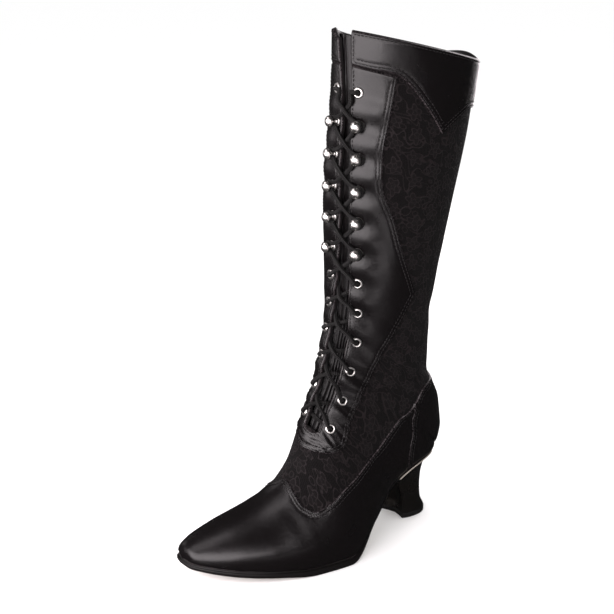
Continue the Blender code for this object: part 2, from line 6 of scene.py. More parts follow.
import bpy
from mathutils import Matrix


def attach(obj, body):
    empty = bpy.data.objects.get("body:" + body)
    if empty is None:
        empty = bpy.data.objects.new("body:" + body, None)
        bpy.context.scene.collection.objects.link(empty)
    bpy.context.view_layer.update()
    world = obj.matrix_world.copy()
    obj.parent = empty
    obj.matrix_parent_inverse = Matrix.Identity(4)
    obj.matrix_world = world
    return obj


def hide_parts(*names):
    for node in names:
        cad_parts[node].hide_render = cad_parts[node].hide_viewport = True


bl_info = {
    "name": "Lace-up Boot Looks",
    "version": (1, 0, 0),
    "blender": (4, 5, 0),
    "location": "3D View > Sidebar > Boot",
    "description": "Dresses the lace-up boot in leather, lace fabric, cord and nickel",
    "category": "Object",
}

from collections import namedtuple
from math import ceil, pi, radians

import bpy
import numpy as np
from bpy.props import FloatProperty, FloatVectorProperty, PointerProperty
from mathutils import Matrix, Vector
from mathutils.geometry import delaunay_2d_cdt
from mathutils.kdtree import KDTree

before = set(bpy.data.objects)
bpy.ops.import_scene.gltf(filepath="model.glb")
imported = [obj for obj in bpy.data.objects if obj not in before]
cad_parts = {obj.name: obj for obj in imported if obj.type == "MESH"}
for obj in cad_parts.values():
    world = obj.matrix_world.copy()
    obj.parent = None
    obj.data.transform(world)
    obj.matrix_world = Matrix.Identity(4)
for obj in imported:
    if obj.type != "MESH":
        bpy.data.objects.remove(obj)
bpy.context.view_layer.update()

MM = 0.001
BODY = "root"

# The last: each section runs from a point on the front ridge (top) to one on the sole edge or the back
# (low); turn moves the centre line of the lacing towards the outer side
Section = namedtuple("Section", "top_x top_z low_x low_z centre outer inner sole_out sole_in "
                                "widest ridge under_z turn")
SECTIONS = (
    Section(207.0, 20.0, 208.5, 15.0, -13.0, 0.0, 0.0, 0.0, 0.0, 0.70, 1.00, 10.2, 0.000),
    Section(205.5, 22.5, 207.0, 14.7, -12.5, 10.5, 8.5, 9.5, 7.5, 0.72, 1.00, 9.8, 0.000),
    Section(196.5, 27.0, 199.5, 13.8, -11.0, 19.5, 15.5, 18.0, 14.0, 0.75, 0.95, 8.6, 0.000),
    Section(177.0, 35.0, 179.0, 11.6, -6.5, 32.0, 24.5, 30.5, 23.0, 0.78, 0.95, 6.0, 0.000),
    Section(152.0, 43.5, 152.0, 9.2, -1.0, 40.5, 32.5, 38.5, 30.5, 0.78, 0.98, 3.2, 0.000),
    Section(130.5, 57.0, 122.5, 6.9, 3.5, 44.5, 36.0, 42.0, 33.5, 0.74, 1.05, 0.0, 0.000),
    Section(116.0, 78.0, 93.0, 7.0, 4.0, 46.0, 36.0, 44.0, 32.5, 0.68, 1.12, 0.0, 0.000),
    Section(107.0, 100.0, 62.0, 28.5, 2.5, 40.0, 37.0, 34.0, 27.0, 0.62, 1.15, 23.5, 0.050),
    Section(99.5, 119.0, 35.0, 49.0, 1.0, 34.0, 33.5, 26.0, 25.0, 0.58, 1.15, 44.5, 0.075),
    Section(94.0, 132.0, 13.0, 58.2, 0.5, 32.5, 32.0, 25.0, 25.0, 0.55, 1.10, 54.2, 0.085),
    Section(90.0, 143.0, -4.0, 61.8, 0.0, 32.0, 31.5, 21.5, 21.5, 0.53, 1.05, 58.0, 0.090),
    Section(88.0, 151.0, -12.8, 63.2, 0.0, 31.5, 31.0, 14.0, 14.0, 0.52, 1.00, 59.5, 0.090),
    Section(86.5, 157.0, -17.5, 64.2, 0.0, 31.0, 31.0, 0.0, 0.0, 0.52, 1.00, 60.5, 0.090),
    Section(85.0, 164.0, -26.0, 76.5, 0.0, 31.0, 31.0, 0.0, 0.0, 0.51, 1.00, 60.5, 0.090),
    Section(83.0, 173.0, -23.0, 100.0, 0.0, 31.0, 31.0, 0.0, 0.0, 0.50, 1.00, 60.5, 0.090),
    Section(80.0, 187.5, -10.5, 133.0, 0.0, 31.5, 31.5, 0.0, 0.0, 0.50, 1.00, 60.5, 0.090),
    Section(78.5, 211.5, -9.5, 177.5, 0.0, 35.0, 35.0, 0.0, 0.0, 0.50, 1.00, 60.5, 0.090),
    Section(78.0, 248.5, -16.0, 223.5, 0.0, 40.0, 40.0, 0.0, 0.0, 0.50, 1.00, 60.5, 0.090),
    Section(78.0, 294.5, -26.0, 272.5, 0.0, 44.0, 44.0, 0.0, 0.0, 0.50, 1.00, 60.5, 0.085),
    Section(75.0, 349.0, -37.0, 326.0, 0.0, 48.0, 48.0, 0.0, 0.0, 0.50, 1.00, 60.5, 0.060),
    Section(74.0, 405.5, -44.0, 376.0, 0.0, 50.0, 50.0, 0.0, 0.0, 0.50, 1.00, 60.5, 0.030),
)

# Section numbers of the main lines, counted along SECTIONS from the toe
THROAT_BASE = 7.2
FIRST_STATION = 7.72
TONGUE_BASE = 6.6
TONGUE_TOP = 19.93
SOLE_END = 12.0
COLLAR = 20.0

# Lacing: half gap of the throat and distance of the eyelets from the centre line by section number,
# and spacing along the facing
THROAT_HALVES = ((7.2, 8.0), (14.5, 8.5), (17.0, 4.5), (19.0, 4.5), (20.0, 7.5))
LACING_HALVES = ((7.5, 16.5), (14.5, 16.5), (17.0, 11.5), (20.0, 11.5))
STATION_STEP = 23.8
STATION_COUNT = 12
HOOK_STATIONS = range(7, 12)

# Edges of the leather pieces on the last, as section number and side share
VAMP_LINE = ((5.38, 0.0), (5.24, 0.11), (5.18, 0.19), (5.3, 0.25), (5.95, 0.312), (6.55, 0.334),
             (7.18, 0.374), (8.34, 0.438), (10.4, 0.447), (11.8, 0.465), (13.0, 0.499))
COUNTER_FOOT = 8.5
COUNTER_SEAM = ((13.0, 0.499), (10.8, 0.557), (9.77, 0.615), (9.01, 0.72), (8.65, 0.854),
                (COUNTER_FOOT, 1.0))
COUNTER_TOP = ((13.0, 0.499), (14.05, 0.592), (14.45, 0.696), (14.75, 0.853), (14.9, 1.0))
CUFF_FRONT_T = 19.59
CUFF_FRONT_SEAM = ((19.575, 0.139), (19.56, 0.262), (19.25, 0.381), (18.9, 0.483))
CUFF_BACK_SEAM = ((18.9, 0.483), (19.12, 0.575), (19.27, 0.664), (19.3, 0.835), (19.3, 1.0))
FACING_TOP = ((19.575, 0.139), (19.56, 0.257))
FACING_UPPER = ((19.56, 0.257), (19.1, 0.229), (18.35, 0.197), (18.0, 0.213), (17.7, 0.264), (17.1, 0.351),
                (16.4, 0.488))
FACING_LOWER = ((16.4, 0.488), (15.5, 0.385), (14.3, 0.284), (13.2, 0.24), (11.0, 0.218), (8.8, 0.214),
                (7.5, 0.237), (6.95, 0.164), (6.62, 0.081), (6.5, 0.0))
THROAT_ROUNDING = ((0.12, 1.0), (0.0, 0.6), (-0.03, 0.0))
BACKSTAY_SHARE = 0.945
BACKSTAY_ENDS = (12.5, 14.75)
SEAM_GAP_T = 0.008
SEAM_GAP_U = 0.001


def eased(table, at):
    """Values of a table's columns at fractional row numbers, without overshoot between its rows."""
    rows = np.array(table, float)
    at = np.atleast_1d(np.asarray(at, float))
    step = np.diff(rows, axis=0)
    before, after = step[:-1], step[1:]
    same_way = before * after > 0
    total = np.where(same_way, before + after, 1.0)
    slope = np.zeros_like(rows)
    slope[1:-1] = np.where(same_way, 2 * before * after / total, 0.0)
    slope[0], slope[-1] = step[0], step[-1]
    row = np.clip(at.astype(int), 0, len(rows) - 2)
    s = (at - row)[:, None]
    start = (2 * s**3 - 3 * s**2 + 1) * rows[row] + (s**3 - 2 * s**2 + s) * slope[row]
    end = (3 * s**2 - 2 * s**3) * rows[row + 1] + (s**3 - s**2) * slope[row + 1]
    return start + end


def by_section(table, t):
    """Values at section numbers t, from a table of section numbers and values."""
    return np.interp(t, *zip(*table))


def unit(vectors):
    """Vectors made one long."""
    return vectors / np.linalg.norm(vectors, axis=-1, keepdims=True)


def polyline_length(points):
    """Lengths along rows of points, from each row's start."""
    steps = np.linalg.norm(np.diff(points, axis=-2), axis=-1)
    return np.concatenate([np.zeros(steps.shape[:-1] + (1,)), np.cumsum(steps, axis=-1)], -1)


def last_rows(t):
    """The last's section values at section numbers t, as named columns."""
    return Section(*eased(SECTIONS, t).T)


def skin(t, u):
    """Points of the upper's outer skin; u is 0 on the ridge, 1 and -1 at the outer and inner lower edge."""
    t, u = np.broadcast_arrays(np.asarray(t, float), np.asarray(u, float))
    row = Section(*(column.reshape(t.shape) for column in last_rows(t.ravel())))
    side = u + row.turn * (1 - u**2)**2
    share = np.abs(side)
    width = np.where(side >= 0, row.outer, row.inner)
    sole = np.where(side >= 0, row.sole_out, row.sole_in)
    over = pi * np.minimum(share, 0.5)
    under = pi * np.maximum(share - 0.5, 0.0)
    upper_half = share <= 0.5
    chord = np.where(upper_half, row.widest * (1 - np.cos(over)**row.ridge),
                     row.widest + (1 - row.widest) * np.sin(under))
    half = np.where(upper_half, width * np.sin(over)**row.ridge, sole + (width - sole) * np.cos(under))
    return np.stack([row.top_x + (row.low_x - row.top_x) * chord,
                     row.centre + np.sign(side) * half,
                     row.top_z + (row.low_z - row.top_z) * chord], -1)


def tangents(t, u, small=0.004):
    """Change of the skin per section number and per side share."""
    t, u = np.broadcast_arrays(np.maximum(np.asarray(t, float), small), np.asarray(u, float))
    u_low, u_high = np.clip(u - small, -1, 1), np.clip(u + small, -1, 1)
    along = (skin(t + small, u) - skin(t - small, u)) / (2 * small)
    across = (skin(t, u_high) - skin(t, u_low)) / (u_high - u_low)[..., None]
    return along, across


def skin_normal(t, u):
    """Outward normals of the skin; where both sides meet they lie in the middle plane."""
    t, u = np.broadcast_arrays(np.asarray(t, float), np.asarray(u, float))
    along, across = tangents(t, u)
    normal = np.cross(across, along)
    closed = (t <= 0) | ((np.abs(u) > 0.999) & (t >= SOLE_END))
    normal[..., 1] = np.where(closed, 0.0, normal[..., 1])
    return unit(normal)


def share_at(t, distance):
    """Side share at which the skin is a distance from the centre line, measured along the skin."""
    t = np.atleast_1d(np.asarray(t, float))
    shares = np.linspace(0.0, 0.25, 51)
    runs = polyline_length(skin(t[:, None], shares))
    return np.array([np.interp(d, run, shares) for d, run in zip(np.broadcast_to(distance, t.shape), runs)])


def throat_share(t):
    """Side share of the throat's edge at section numbers t."""
    return share_at(t, by_section(THROAT_HALVES, t))


def lacing_share(t):
    """Side share of the eyelets and hooks at section numbers t."""
    return share_at(t, by_section(LACING_HALVES, t))


def station_share(t):
    """Side share of the eyelet or hook at one section number, on the outer side."""
    return float(lacing_share(t)[0])


def stations():
    """Section numbers of the lacing stations, evenly spaced along the facing from the lowest."""
    t = np.arange(FIRST_STATION, COLLAR, 0.02)
    run = polyline_length(skin(t, lacing_share(t)))
    return np.interp(STATION_STEP * np.arange(STATION_COUNT), run, t)


STATION_T = stations()

# Soft creases of the leather and cloth: centre, half sizes, slant of the trough across the sides, depth
Crease = namedtuple("Crease", "t u half_t half_u slant depth")
CREASES = (
    Crease(9.2, 0.20, 0.30, 0.10, 0.6, 0.7),
    Crease(10.6, 0.24, 0.40, 0.09, 0.8, 0.6),
    Crease(12.6, 0.26, 0.55, 0.09, 0.8, 0.7),
    Crease(14.4, 0.42, 0.28, 0.16, -0.5, 0.9),
    Crease(15.0, 0.62, 0.22, 0.20, -0.3, 0.8),
    Crease(15.5, 0.50, 0.22, 0.18, 0.3, 0.8),
    Crease(16.1, 0.70, 0.20, 0.20, 0.2, 0.7),
    Crease(16.9, 0.60, 0.20, 0.22, 0.2, 0.5),
    Crease(4.75, 0.30, 0.16, 0.20, 0.5, 0.18),
    Crease(17.9, 0.22, 0.25, 0.10, 0.5, 0.5),
    Crease(6.74, 0.04, 0.07, 0.06, 0.8, 0.40),
    Crease(6.82, 0.13, 0.08, 0.07, -1.1, 0.45),
    Crease(7.00, 0.08, 0.07, 0.05, 1.5, 0.50),
    Crease(7.10, 0.18, 0.08, 0.06, 1.2, 0.50),
    Crease(7.38, 0.15, 0.07, 0.05, -1.4, 0.45),
    Crease(7.50, 0.22, 0.10, 0.06, 1.2, 0.50),
    Crease(7.85, 0.19, 0.09, 0.05, -1.2, 0.45),
    Crease(8.30, 0.23, 0.12, 0.07, 1.2, 0.50),
    Crease(8.75, 0.19, 0.10, 0.06, -1.0, 0.45),
)
# The ridge beside each trough: share of its depth, distance in half sizes, and sharpness
RIDGE_SHARE, RIDGE_PLACE, RIDGE_SHARPNESS = 0.4, 1.6, 1.5

# Fullness of the heel quarter above the seat: centre, half sizes and height
SEAT_FULLNESS = Crease(12.0, 0.84, 0.62, 0.14, 0.0, 4.2)

# Pull of the lacing at each station, over the shares where it sets in and fades out
PUCKER = 0.7
PUCKER_IN = (0.0, 0.05)
PUCKER_OUT = (0.15, 0.27)

# Pull on the inner side below the collar: depth, share and half share, and the sections where it sets in
INNER_PINCH = 3.5
PINCH_SHARE, PINCH_HALF = -0.2, 0.17
PINCH_IN = (18.0, 19.3)

# Slack of the cuff: height, waves over the side share, and the sections and shares that it lies between
CUFF_WAVE = 0.6
CUFF_WAVES, CUFF_PHASE = 17.0, 0.6
CUFF_IN, CUFF_OUT, CUFF_SIDE = (19.3, 19.6), (19.9, COLLAR), (0.12, 0.3)


def smooth_step(low, high, value):
    """0 below low, 1 above high and an ease between them."""
    x = np.clip((value - low) / (high - low), 0, 1)
    return x * x * (3 - 2 * x)


def pinch(t, u):
    """Depth by which the lacing pulls in the inner side below the collar."""
    return INNER_PINCH * np.exp(-((u - PINCH_SHARE) / PINCH_HALF)**2) * smooth_step(*PINCH_IN, t)


def relief(t, u):
    """Height of the creases, the pull of the lacing and the slack of the cuff."""
    t, u = np.broadcast_arrays(np.asarray(t, float), np.asarray(u, float))
    share = np.abs(u)
    height = np.zeros(t.shape)
    for crease in CREASES:
        across = (share - crease.u) / crease.half_u
        along = (t - crease.t) / crease.half_t - crease.slant * across
        ridge = RIDGE_SHARE * np.exp(-RIDGE_SHARPNESS * (np.abs(along) - RIDGE_PLACE)**2)
        height += crease.depth * np.exp(-across**2) * (ridge - np.exp(-along**2))
    station = np.interp(t, STATION_T, np.arange(STATION_COUNT))
    reach = smooth_step(*PUCKER_IN, share) * (1 - smooth_step(*PUCKER_OUT, share))
    ends = smooth_step(THROAT_BASE, FIRST_STATION, t) * (1 - smooth_step(STATION_T[-1], COLLAR - 0.3, t))
    height -= PUCKER * np.cos(2 * pi * station) * reach * ends
    full = SEAT_FULLNESS
    height += full.depth * np.exp(-((t - full.t) / full.half_t)**2 - ((share - full.u) / full.half_u)**2)
    height -= pinch(t, u)
    slack = smooth_step(*CUFF_IN, t) * (1 - smooth_step(*CUFF_OUT, t)) * smooth_step(*CUFF_SIDE, share)
    return height + CUFF_WAVE * slack * np.sin(CUFF_WAVES * share + CUFF_PHASE)


# The collar rises behind the calf, and is rounded at its inner front corner
BACK_RISE = 6.0
RISE_HALF = 0.16
RISE_FROM = 19.0
CORNER_DIP = 6.5
CORNER_SHARES = (0.05, 0.15)
CORNER_FROM = 19.55


def top_line(t, u):
    """Extra height of the collar's top line."""
    t, u = np.broadcast_arrays(np.asarray(t, float), np.asarray(u, float))
    rise = BACK_RISE * np.exp(-((1 - np.abs(u)) / RISE_HALF)**2) * smooth_step(RISE_FROM, COLLAR, t)
    corner = (1 - smooth_step(*CORNER_SHARES, -u)) * smooth_step(CORNER_FROM, COLLAR, t)
    return rise - CORNER_DIP * np.where(u < 0, corner, 0.0)


def surface(t, u, lift=0.0):
    """Points a height above the creased skin."""
    points = skin(t, u) + (lift + relief(t, u))[..., None] * skin_normal(t, u)
    points[..., 2] += top_line(t, u)
    return points


# Flat map of the skin, in millimetres: run from the toe and distance from the ridge
FLAT_T = np.linspace(0, COLLAR, 801)
FLAT_SHARE = 0.45
LEAST_GIRTH = 6.0

FLAT_RUN = polyline_length(skin(FLAT_T, FLAT_SHARE))
HALF_GIRTHS = polyline_length(skin(FLAT_T[:, None], np.linspace(0, 1, 41)[None]))[:, -1]
FLAT_GIRTH = np.maximum(HALF_GIRTHS, LEAST_GIRTH)


def flat(path):
    """Flat places of sections and shares."""
    t, u = np.asarray(path, float).T
    return np.stack([np.interp(t, FLAT_T, FLAT_RUN), u * np.interp(t, FLAT_T, FLAT_GIRTH)], -1)


def unflat(places):
    """Sections and shares of flat places."""
    run, side = np.asarray(places, float).T
    t = np.interp(run, FLAT_RUN, FLAT_T)
    return np.stack([t, np.clip(side / np.interp(t, FLAT_T, FLAT_GIRTH), -1, 1)], -1)


# Paths on the skin, with a point about every step in millimetres
PATH_STEP = 1.6
BORDER_STEP = 0.4


def smooth_curve(knots, gaps, counts):
    """A smooth curve through knots, from the gaps between them and each gap's count of points."""
    gaps = gaps[:, None]
    speed = np.diff(knots, axis=0) / gaps
    between = (speed[:-1] * gaps[1:] + speed[1:] * gaps[:-1]) / (gaps[1:] + gaps[:-1])
    slope = np.concatenate([speed[:1], between, speed[-1:]])
    path = []
    for k, count in enumerate(counts):
        gap = gaps[k, 0]
        s = (np.arange(count) / count)[:, None]
        path.append((2 * s**3 - 3 * s**2 + 1) * knots[k] + (s**3 - 2 * s**2 + s) * gap * slope[k]
                    + (3 * s**2 - 2 * s**3) * knots[k + 1] + (s**3 - s**2) * gap * slope[k + 1])
    return np.concatenate(path + [knots[-1:]])


def curve_path(knots, step=PATH_STEP):
    """A smooth path of sections and shares through a few knots."""
    knots = np.array(knots, float)
    gaps = np.maximum(np.linalg.norm(np.diff(flat(knots), axis=0), axis=1), 0.01)
    return smooth_curve(knots, gaps, [max(1, ceil(gap / step)) for gap in gaps])


def line_path(knots):
    """A path of straight stretches through a few knots."""
    stretches = [curve_path(pair)[:-1] for pair in zip(knots, knots[1:])]
    return np.concatenate(stretches + [np.array(knots[-1:])])


def mirrored(path):
    """The same path on the other side, run the other way."""
    return np.asarray(path)[::-1] * (1, -1)


def both_sides(knots):
    """Knots of an outer half that starts on the ridge, continued over the inner side."""
    return np.concatenate([mirrored(knots)[:-1], np.asarray(knots, float)])


def shifted(knots, sign):
    """Knots moved by the seam gap, forward for sign -1 and back for sign 1."""
    return [(t + sign * SEAM_GAP_T, u + sign * SEAM_GAP_U if u < 1 else u) for t, u in knots]


def throat_path(low, high):
    """The outer edge of the throat between two sections."""
    run = np.interp(high, FLAT_T, FLAT_RUN) - np.interp(low, FLAT_T, FLAT_RUN)
    t = np.linspace(low, high, int(run / PATH_STEP))
    return np.stack([t, throat_share(t)], -1)


def inset(path, distance, clockwise):
    """A path moved sideways along the skin to its inner side."""
    t, u = path.T
    way = unit(np.gradient(skin(t, u), axis=0))
    side = np.cross(way, skin_normal(t, u)) * (-1 if clockwise else 1)
    basis = np.stack(tangents(t, u), -1)
    gram = np.einsum("nij,nik->njk", basis, basis)
    move = np.linalg.solve(gram, np.einsum("nij,ni->nj", basis, side)[..., None])[..., 0]
    return path + distance * move


def signed_area(outline):
    """Area of a flat outline, positive when it runs anticlockwise."""
    x, y = outline.T
    return 0.5 * np.sum(x * np.roll(y, -1) - np.roll(x, -1) * y)


def inside(points, outline):
    """Which flat points lie inside a closed outline."""
    x, y = points[:, :1], points[:, 1:]
    x0, y0 = outline.T
    x1, y1 = np.roll(outline, -1, axis=0).T
    crosses = (y0 > y) != (y1 > y)
    rise = np.where(y1 == y0, 1.0, y1 - y0)
    return np.sum(crosses & (x < x0 + (y - y0) * (x1 - x0) / rise), axis=1) % 2 == 1


class Border:
    """Places along edges, for distances from them and the edge that is nearest."""

    def __init__(self, paths):
        dense = [curve_path(path, BORDER_STEP) for path in paths]
        self.owner = np.concatenate([np.full(len(path), k) for k, path in enumerate(dense)])
        points = np.concatenate([skin(*path.T) for path in dense])
        self.tree = KDTree(len(points))
        for k, point in enumerate(points):
            self.tree.insert(point, k)
        self.tree.balance()

    def nearest(self, path):
        """Distance to the border and number of the nearest edge, for each place."""
        found = [self.tree.find(point) for point in skin(*np.asarray(path).T)]
        return np.array([f[2] for f in found]), self.owner[[f[1] for f in found]]


# Leather pieces: an edge is rolled over or tucked away, and carries rows of stitches at distances from it
Edge = namedtuple("Edge", "path rolled rows")
DOUBLE_ROW = (1.8, 4.3)
SINGLE_ROW = (2.0,)
ROLL_ROWS = (0.12, 0.35, 0.7, 1.1)
ROLL_REACH = 1.1
GROOVE_DEPTH = 0.25
GROOVE_HALF = 0.45
GROOVE_ROWS = (-0.5, 0.0, 0.5)
SKIN_CLEAR = 0.05
BACKSTAY_SINK = 0.3
HOLE_RADIUS = 2.3
HOLE_SIDES = 14
# Reach of the edge nearness that lightens the colour near rolled edges, as wear and as a painted highlight
SCUFF_HIGHLIGHT_REACH = 2.5

# Mesh steps: the facing bends most; rows of triangles lie closer than their points
LEATHER_STEPS = {"vamp": 2.0, "counter": 2.0, "backstay": 2.0, "cuff": 2.0, "facing": 1.3}
ROW_STEP = 0.87


def leather_height(distance, rows, thickness):
    """Height of a leather piece at a distance from its rolled edge, with grooves under its stitches."""
    roll = np.sqrt(np.clip(1 - (1 - np.clip(distance / ROLL_REACH, 0, 1))**2, 0, 1))
    height = thickness * roll
    for row in rows:
        height = height - GROOVE_DEPTH * np.exp(-((distance - row) / GROOVE_HALF)**2)
    return np.maximum(height, 0)


def outline_of(edges):
    """The closed outline of a piece's edges, and whether it runs clockwise on the flat."""
    outline = np.concatenate([edge.path[:-1] for edge in edges])
    return outline, signed_area(flat(outline)) < 0


def seat_height(name, thickness):
    """Height of a leather piece's underside above the skin; the backstay lies on the counter."""
    return SKIN_CLEAR + (thickness - BACKSTAY_SINK if name == "backstay" else 0.0)


def edge_rows(edges, clockwise, border, step):
    """Places in rows along the rolled edges, and how far from each edge its rows reach."""
    rows = []
    reach = np.full(len(edges), 0.6 * step)
    for k, edge in enumerate(edges):
        if not edge.rolled:
            continue
        offsets = ROLL_ROWS + tuple(row + g for row in edge.rows for g in GROOVE_ROWS)
        reach[k] = max(offsets) + 0.6 * step
        for offset in offsets:
            path = inset(edge.path, offset, clockwise)
            far, _ = border.nearest(path)
            rows.append(path[(far > 0.8 * offset) & (np.abs(path[:, 1]) < 1)])
    return rows, reach


def field_places(outline, border, reach, step, holes):
    """Places of an even field inside an outline, clear of the rows along its edges and of the holes."""
    low, high = flat(outline).min(axis=0), flat(outline).max(axis=0)
    run, side = np.arange(low[0], high[0], step * ROW_STEP), np.arange(low[1], high[1], step)
    run, side = np.meshgrid(run, side, indexing="ij")
    side = side + step * 0.5 * (np.arange(len(run)) % 2)[:, None]
    grid = np.stack([run.ravel(), side.ravel()], -1)
    grid = unflat(grid[inside(grid, flat(outline))])
    far, owner = border.nearest(grid)
    grid = grid[far > reach[owner]]
    for t, u in holes:
        gap = np.linalg.norm(skin(*grid.T) - skin(t, u), axis=1)
        grid = grid[gap > HOLE_RADIUS + 0.4 * step]
    return grid


def piece_places(edges, step, holes):
    """Sections and shares of a piece's points, and its triangles."""
    outline, clockwise = outline_of(edges)
    border = Border([edge.path for edge in edges])
    rows, reach = edge_rows(edges, clockwise, border, step)
    grid = field_places(outline, border, reach, step, holes)
    rings = [hole_ring(t, u) for t, u in holes]
    loops = [np.arange(len(outline))]
    start = len(outline)
    for ring in rings:
        loops.append(start + np.arange(len(ring)))
        start += len(ring)
    inner = flat(np.concatenate(rows + [grid]))
    inner = inner[inside(inner, flat(outline))]
    places = np.concatenate([flat(np.concatenate([outline] + rings)), inner])
    bonds = [(int(a), int(b)) for loop in loops for a, b in zip(loop, np.roll(loop, -1))]
    result = delaunay_2d_cdt([Vector(p) for p in places], bonds, [], 0, 1e-4)
    made = unflat([tuple(p) for p in result[0]])
    faces = np.array(result[2])
    middle = np.array([tuple(p) for p in result[0]])[faces].mean(axis=1)
    kept = inside(middle, flat(outline))
    for ring in rings:
        kept &= ~inside(middle, flat(ring))
    return made, faces[kept]


def hole_ring(t, u):
    """Places on a circle round a lacing hole."""
    along, across = tangents(t, u)
    turn = np.linspace(0, 2 * pi, HOLE_SIDES, endpoint=False)
    return np.stack([t + HOLE_RADIUS * np.cos(turn) / np.linalg.norm(along),
                     u + HOLE_RADIUS * np.sin(turn) / np.linalg.norm(across)], -1)


def weld(path, faces):
    """Joins places that fall together on the skin, such as those of two halves along the back seam."""
    _, first, same = np.unique(np.round(skin(*path.T), 2), axis=0, return_index=True, return_inverse=True)
    faces = same.reshape(-1)[faces]
    whole = (faces[:, 0] != faces[:, 1]) & (faces[:, 1] != faces[:, 2]) & (faces[:, 0] != faces[:, 2])
    faces = faces[whole]
    _, like, times = np.unique(np.sort(faces, axis=1), axis=0, return_inverse=True, return_counts=True)
    return path[first], faces[times[like.reshape(-1)] == 1]


def drop_unused(path, faces):
    """Leaves out the places that no face uses."""
    used, faces = np.unique(faces, return_inverse=True)
    return path[used], faces.reshape(-1, 3)


def outward(path, faces):
    """Turns triangles so that they face out of the boot."""
    points = skin(*path.T)
    a, b, c = (points[faces[:, k]] for k in range(3))
    normal = skin_normal(*path[faces].mean(axis=1).T)
    wrong = np.sum(np.cross(b - a, c - a) * normal, axis=1) < 0
    faces[wrong] = faces[wrong][:, ::-1]
    return faces


def clean_sheet(path, faces):
    """Places and triangles of one sheet on the skin, joined up and facing out of the boot."""
    path, faces = weld(*drop_unused(path, faces))
    path, faces = drop_unused(path, faces)
    return path, outward(path, faces)


def border_edges(faces):
    """Directed edges that only one triangle uses."""
    edges = np.concatenate([faces[:, [0, 1]], faces[:, [1, 2]], faces[:, [2, 0]]])
    _, place, count = np.unique(np.sort(edges, axis=1), axis=0, return_index=True, return_counts=True)
    return edges[place[count == 1]]


def drape(edges, thickness, base, step, halves, holes):
    """Points, faces, flat places and edge nearness of a closed leather piece lying on the skin."""
    path, faces = piece_places(edges, step, holes)
    if halves:
        faces = np.concatenate([faces, faces[:, ::-1] + len(path)])
        path = np.concatenate([path, path * (1, -1)])
    path, faces = clean_sheet(path, faces)
    rolled = [edge for edge in edges if edge.rolled]
    border = Border([edge.path for edge in rolled])
    folded = path * np.where(path[:, 1:] < 0, (1, -1), (1, 1)) if halves else path
    far, owner = border.nearest(folded)
    height = np.zeros(len(path))
    for k, edge in enumerate(rolled):
        height = np.where(owner == k, leather_height(far, edge.rows, thickness), height)
    top = surface(*path.T, base + height)
    low = surface(*path.T, base)
    count = len(path)
    thick = height > 0.01
    faces = faces[thick[faces].any(axis=1)]
    under = np.where(thick, np.arange(count) + count, np.arange(count))
    start, end = border_edges(faces).T
    walls = np.concatenate([np.stack([end, start, under[start]], -1),
                            np.stack([end, under[start], under[end]], -1)])
    walls = walls[[len(set(wall)) == 3 for wall in walls.tolist()]]
    used, shell = np.unique(np.concatenate([faces, under[faces[:, ::-1]], walls]), return_inverse=True)
    points = np.concatenate([top, low])[used]
    places, near = np.tile(flat(path), (2, 1)), np.tile(np.exp(-far / SCUFF_HIGHLIGHT_REACH), 2)
    return points, shell.reshape(-1, 3).tolist(), places[used], near[used]


# Pieces in the scene
SHARP_ANGLE = radians(52)
UV_SCALE = 0.01


def add_piece(name, points, faces, materials, replaced=(), places=None, near=None, picks=None):
    """A mesh piece in metres that rides on the boot and stands for some of its solids."""
    mesh = bpy.data.meshes.new(name)
    mesh.from_pydata((np.asarray(points) * MM).tolist(), [], faces)
    if places is not None:
        corners = np.empty(len(mesh.loops), np.int32)
        mesh.loops.foreach_get("vertex_index", corners)
        layer = mesh.uv_layers.new(name="surface")
        layer.data.foreach_set("uv", (places[corners] * UV_SCALE).astype(np.float32).ravel())
    if near is not None:
        mesh.attributes.new("edge", "FLOAT", "POINT").data.foreach_set("value", near.astype(np.float32))
    for material in materials:
        mesh.materials.append(material)
    if picks is not None:
        mesh.polygons.foreach_set("material_index", np.asarray(picks, np.int32))
    mesh.shade_smooth()
    mesh.set_sharp_from_angle(angle=SHARP_ANGLE)
    mesh.update()
    if mesh.validate():
        raise RuntimeError(f"{name} has faulty faces")
    return place_piece(name, mesh, replaced)


def place_piece(name, mesh, replaced=(), matrix=None):
    """An object for a mesh, on the boot."""
    piece = bpy.data.objects.new(name, mesh)
    if matrix is not None:
        piece.matrix_world = matrix
    bpy.context.scene.collection.objects.link(piece)
    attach(piece, BODY)
    if replaced:
        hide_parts(*replaced)
    return piece


def grid_faces(rows, columns, ring=False):
    """Quads of a grid of points; ring joins the last column to the first."""
    last = columns if ring else columns - 1
    faces = []
    for low in range(0, (rows - 1) * columns, columns):
        high = low + columns
        for j in range(last):
            after = (j + 1) % columns
            faces.append((low + j, low + after, high + after, high + j))
    return faces


def triangles(quads):
    """Two triangles for each quad."""
    return np.concatenate([quads[:, [0, 1, 2]], quads[:, [0, 2, 3]]])


# Settings


def length(label, text, default):
    """A length property in metres."""
    return FloatProperty(name=label, description=text, default=default, min=0.0, unit="LENGTH", precision=5)


def colour(label, text, default):
    """A colour property."""
    return FloatVectorProperty(name=label, description=text, default=default, size=3, min=0.0, max=1.0,
                               subtype="COLOR")


class BootSizes(bpy.types.PropertyGroup):
    """Thicknesses and small sizes of the boot."""
    wall: length("Wall", "Lining and lace fabric together", 0.0022)
    leather: length("Leather", "Thickness of the leather pieces", 0.0014)
    tongue: length("Tongue", "Thickness of the tongue", 0.0020)
    tongue_depth: length("Tongue depth", "Depth of the tongue below the skin", 0.0055)
    insole: length("Insole", "Thickness of the sock", 0.0020)
    cord: length("Lace", "Diameter of the lace", 0.0032)
    stitch: length("Stitch", "Length of one stitch", 0.0022)
    stitch_pitch: length("Stitch pitch", "Distance between stitches", 0.0029)
    thread: length("Thread", "Diameter of the sewing thread", 0.0006)


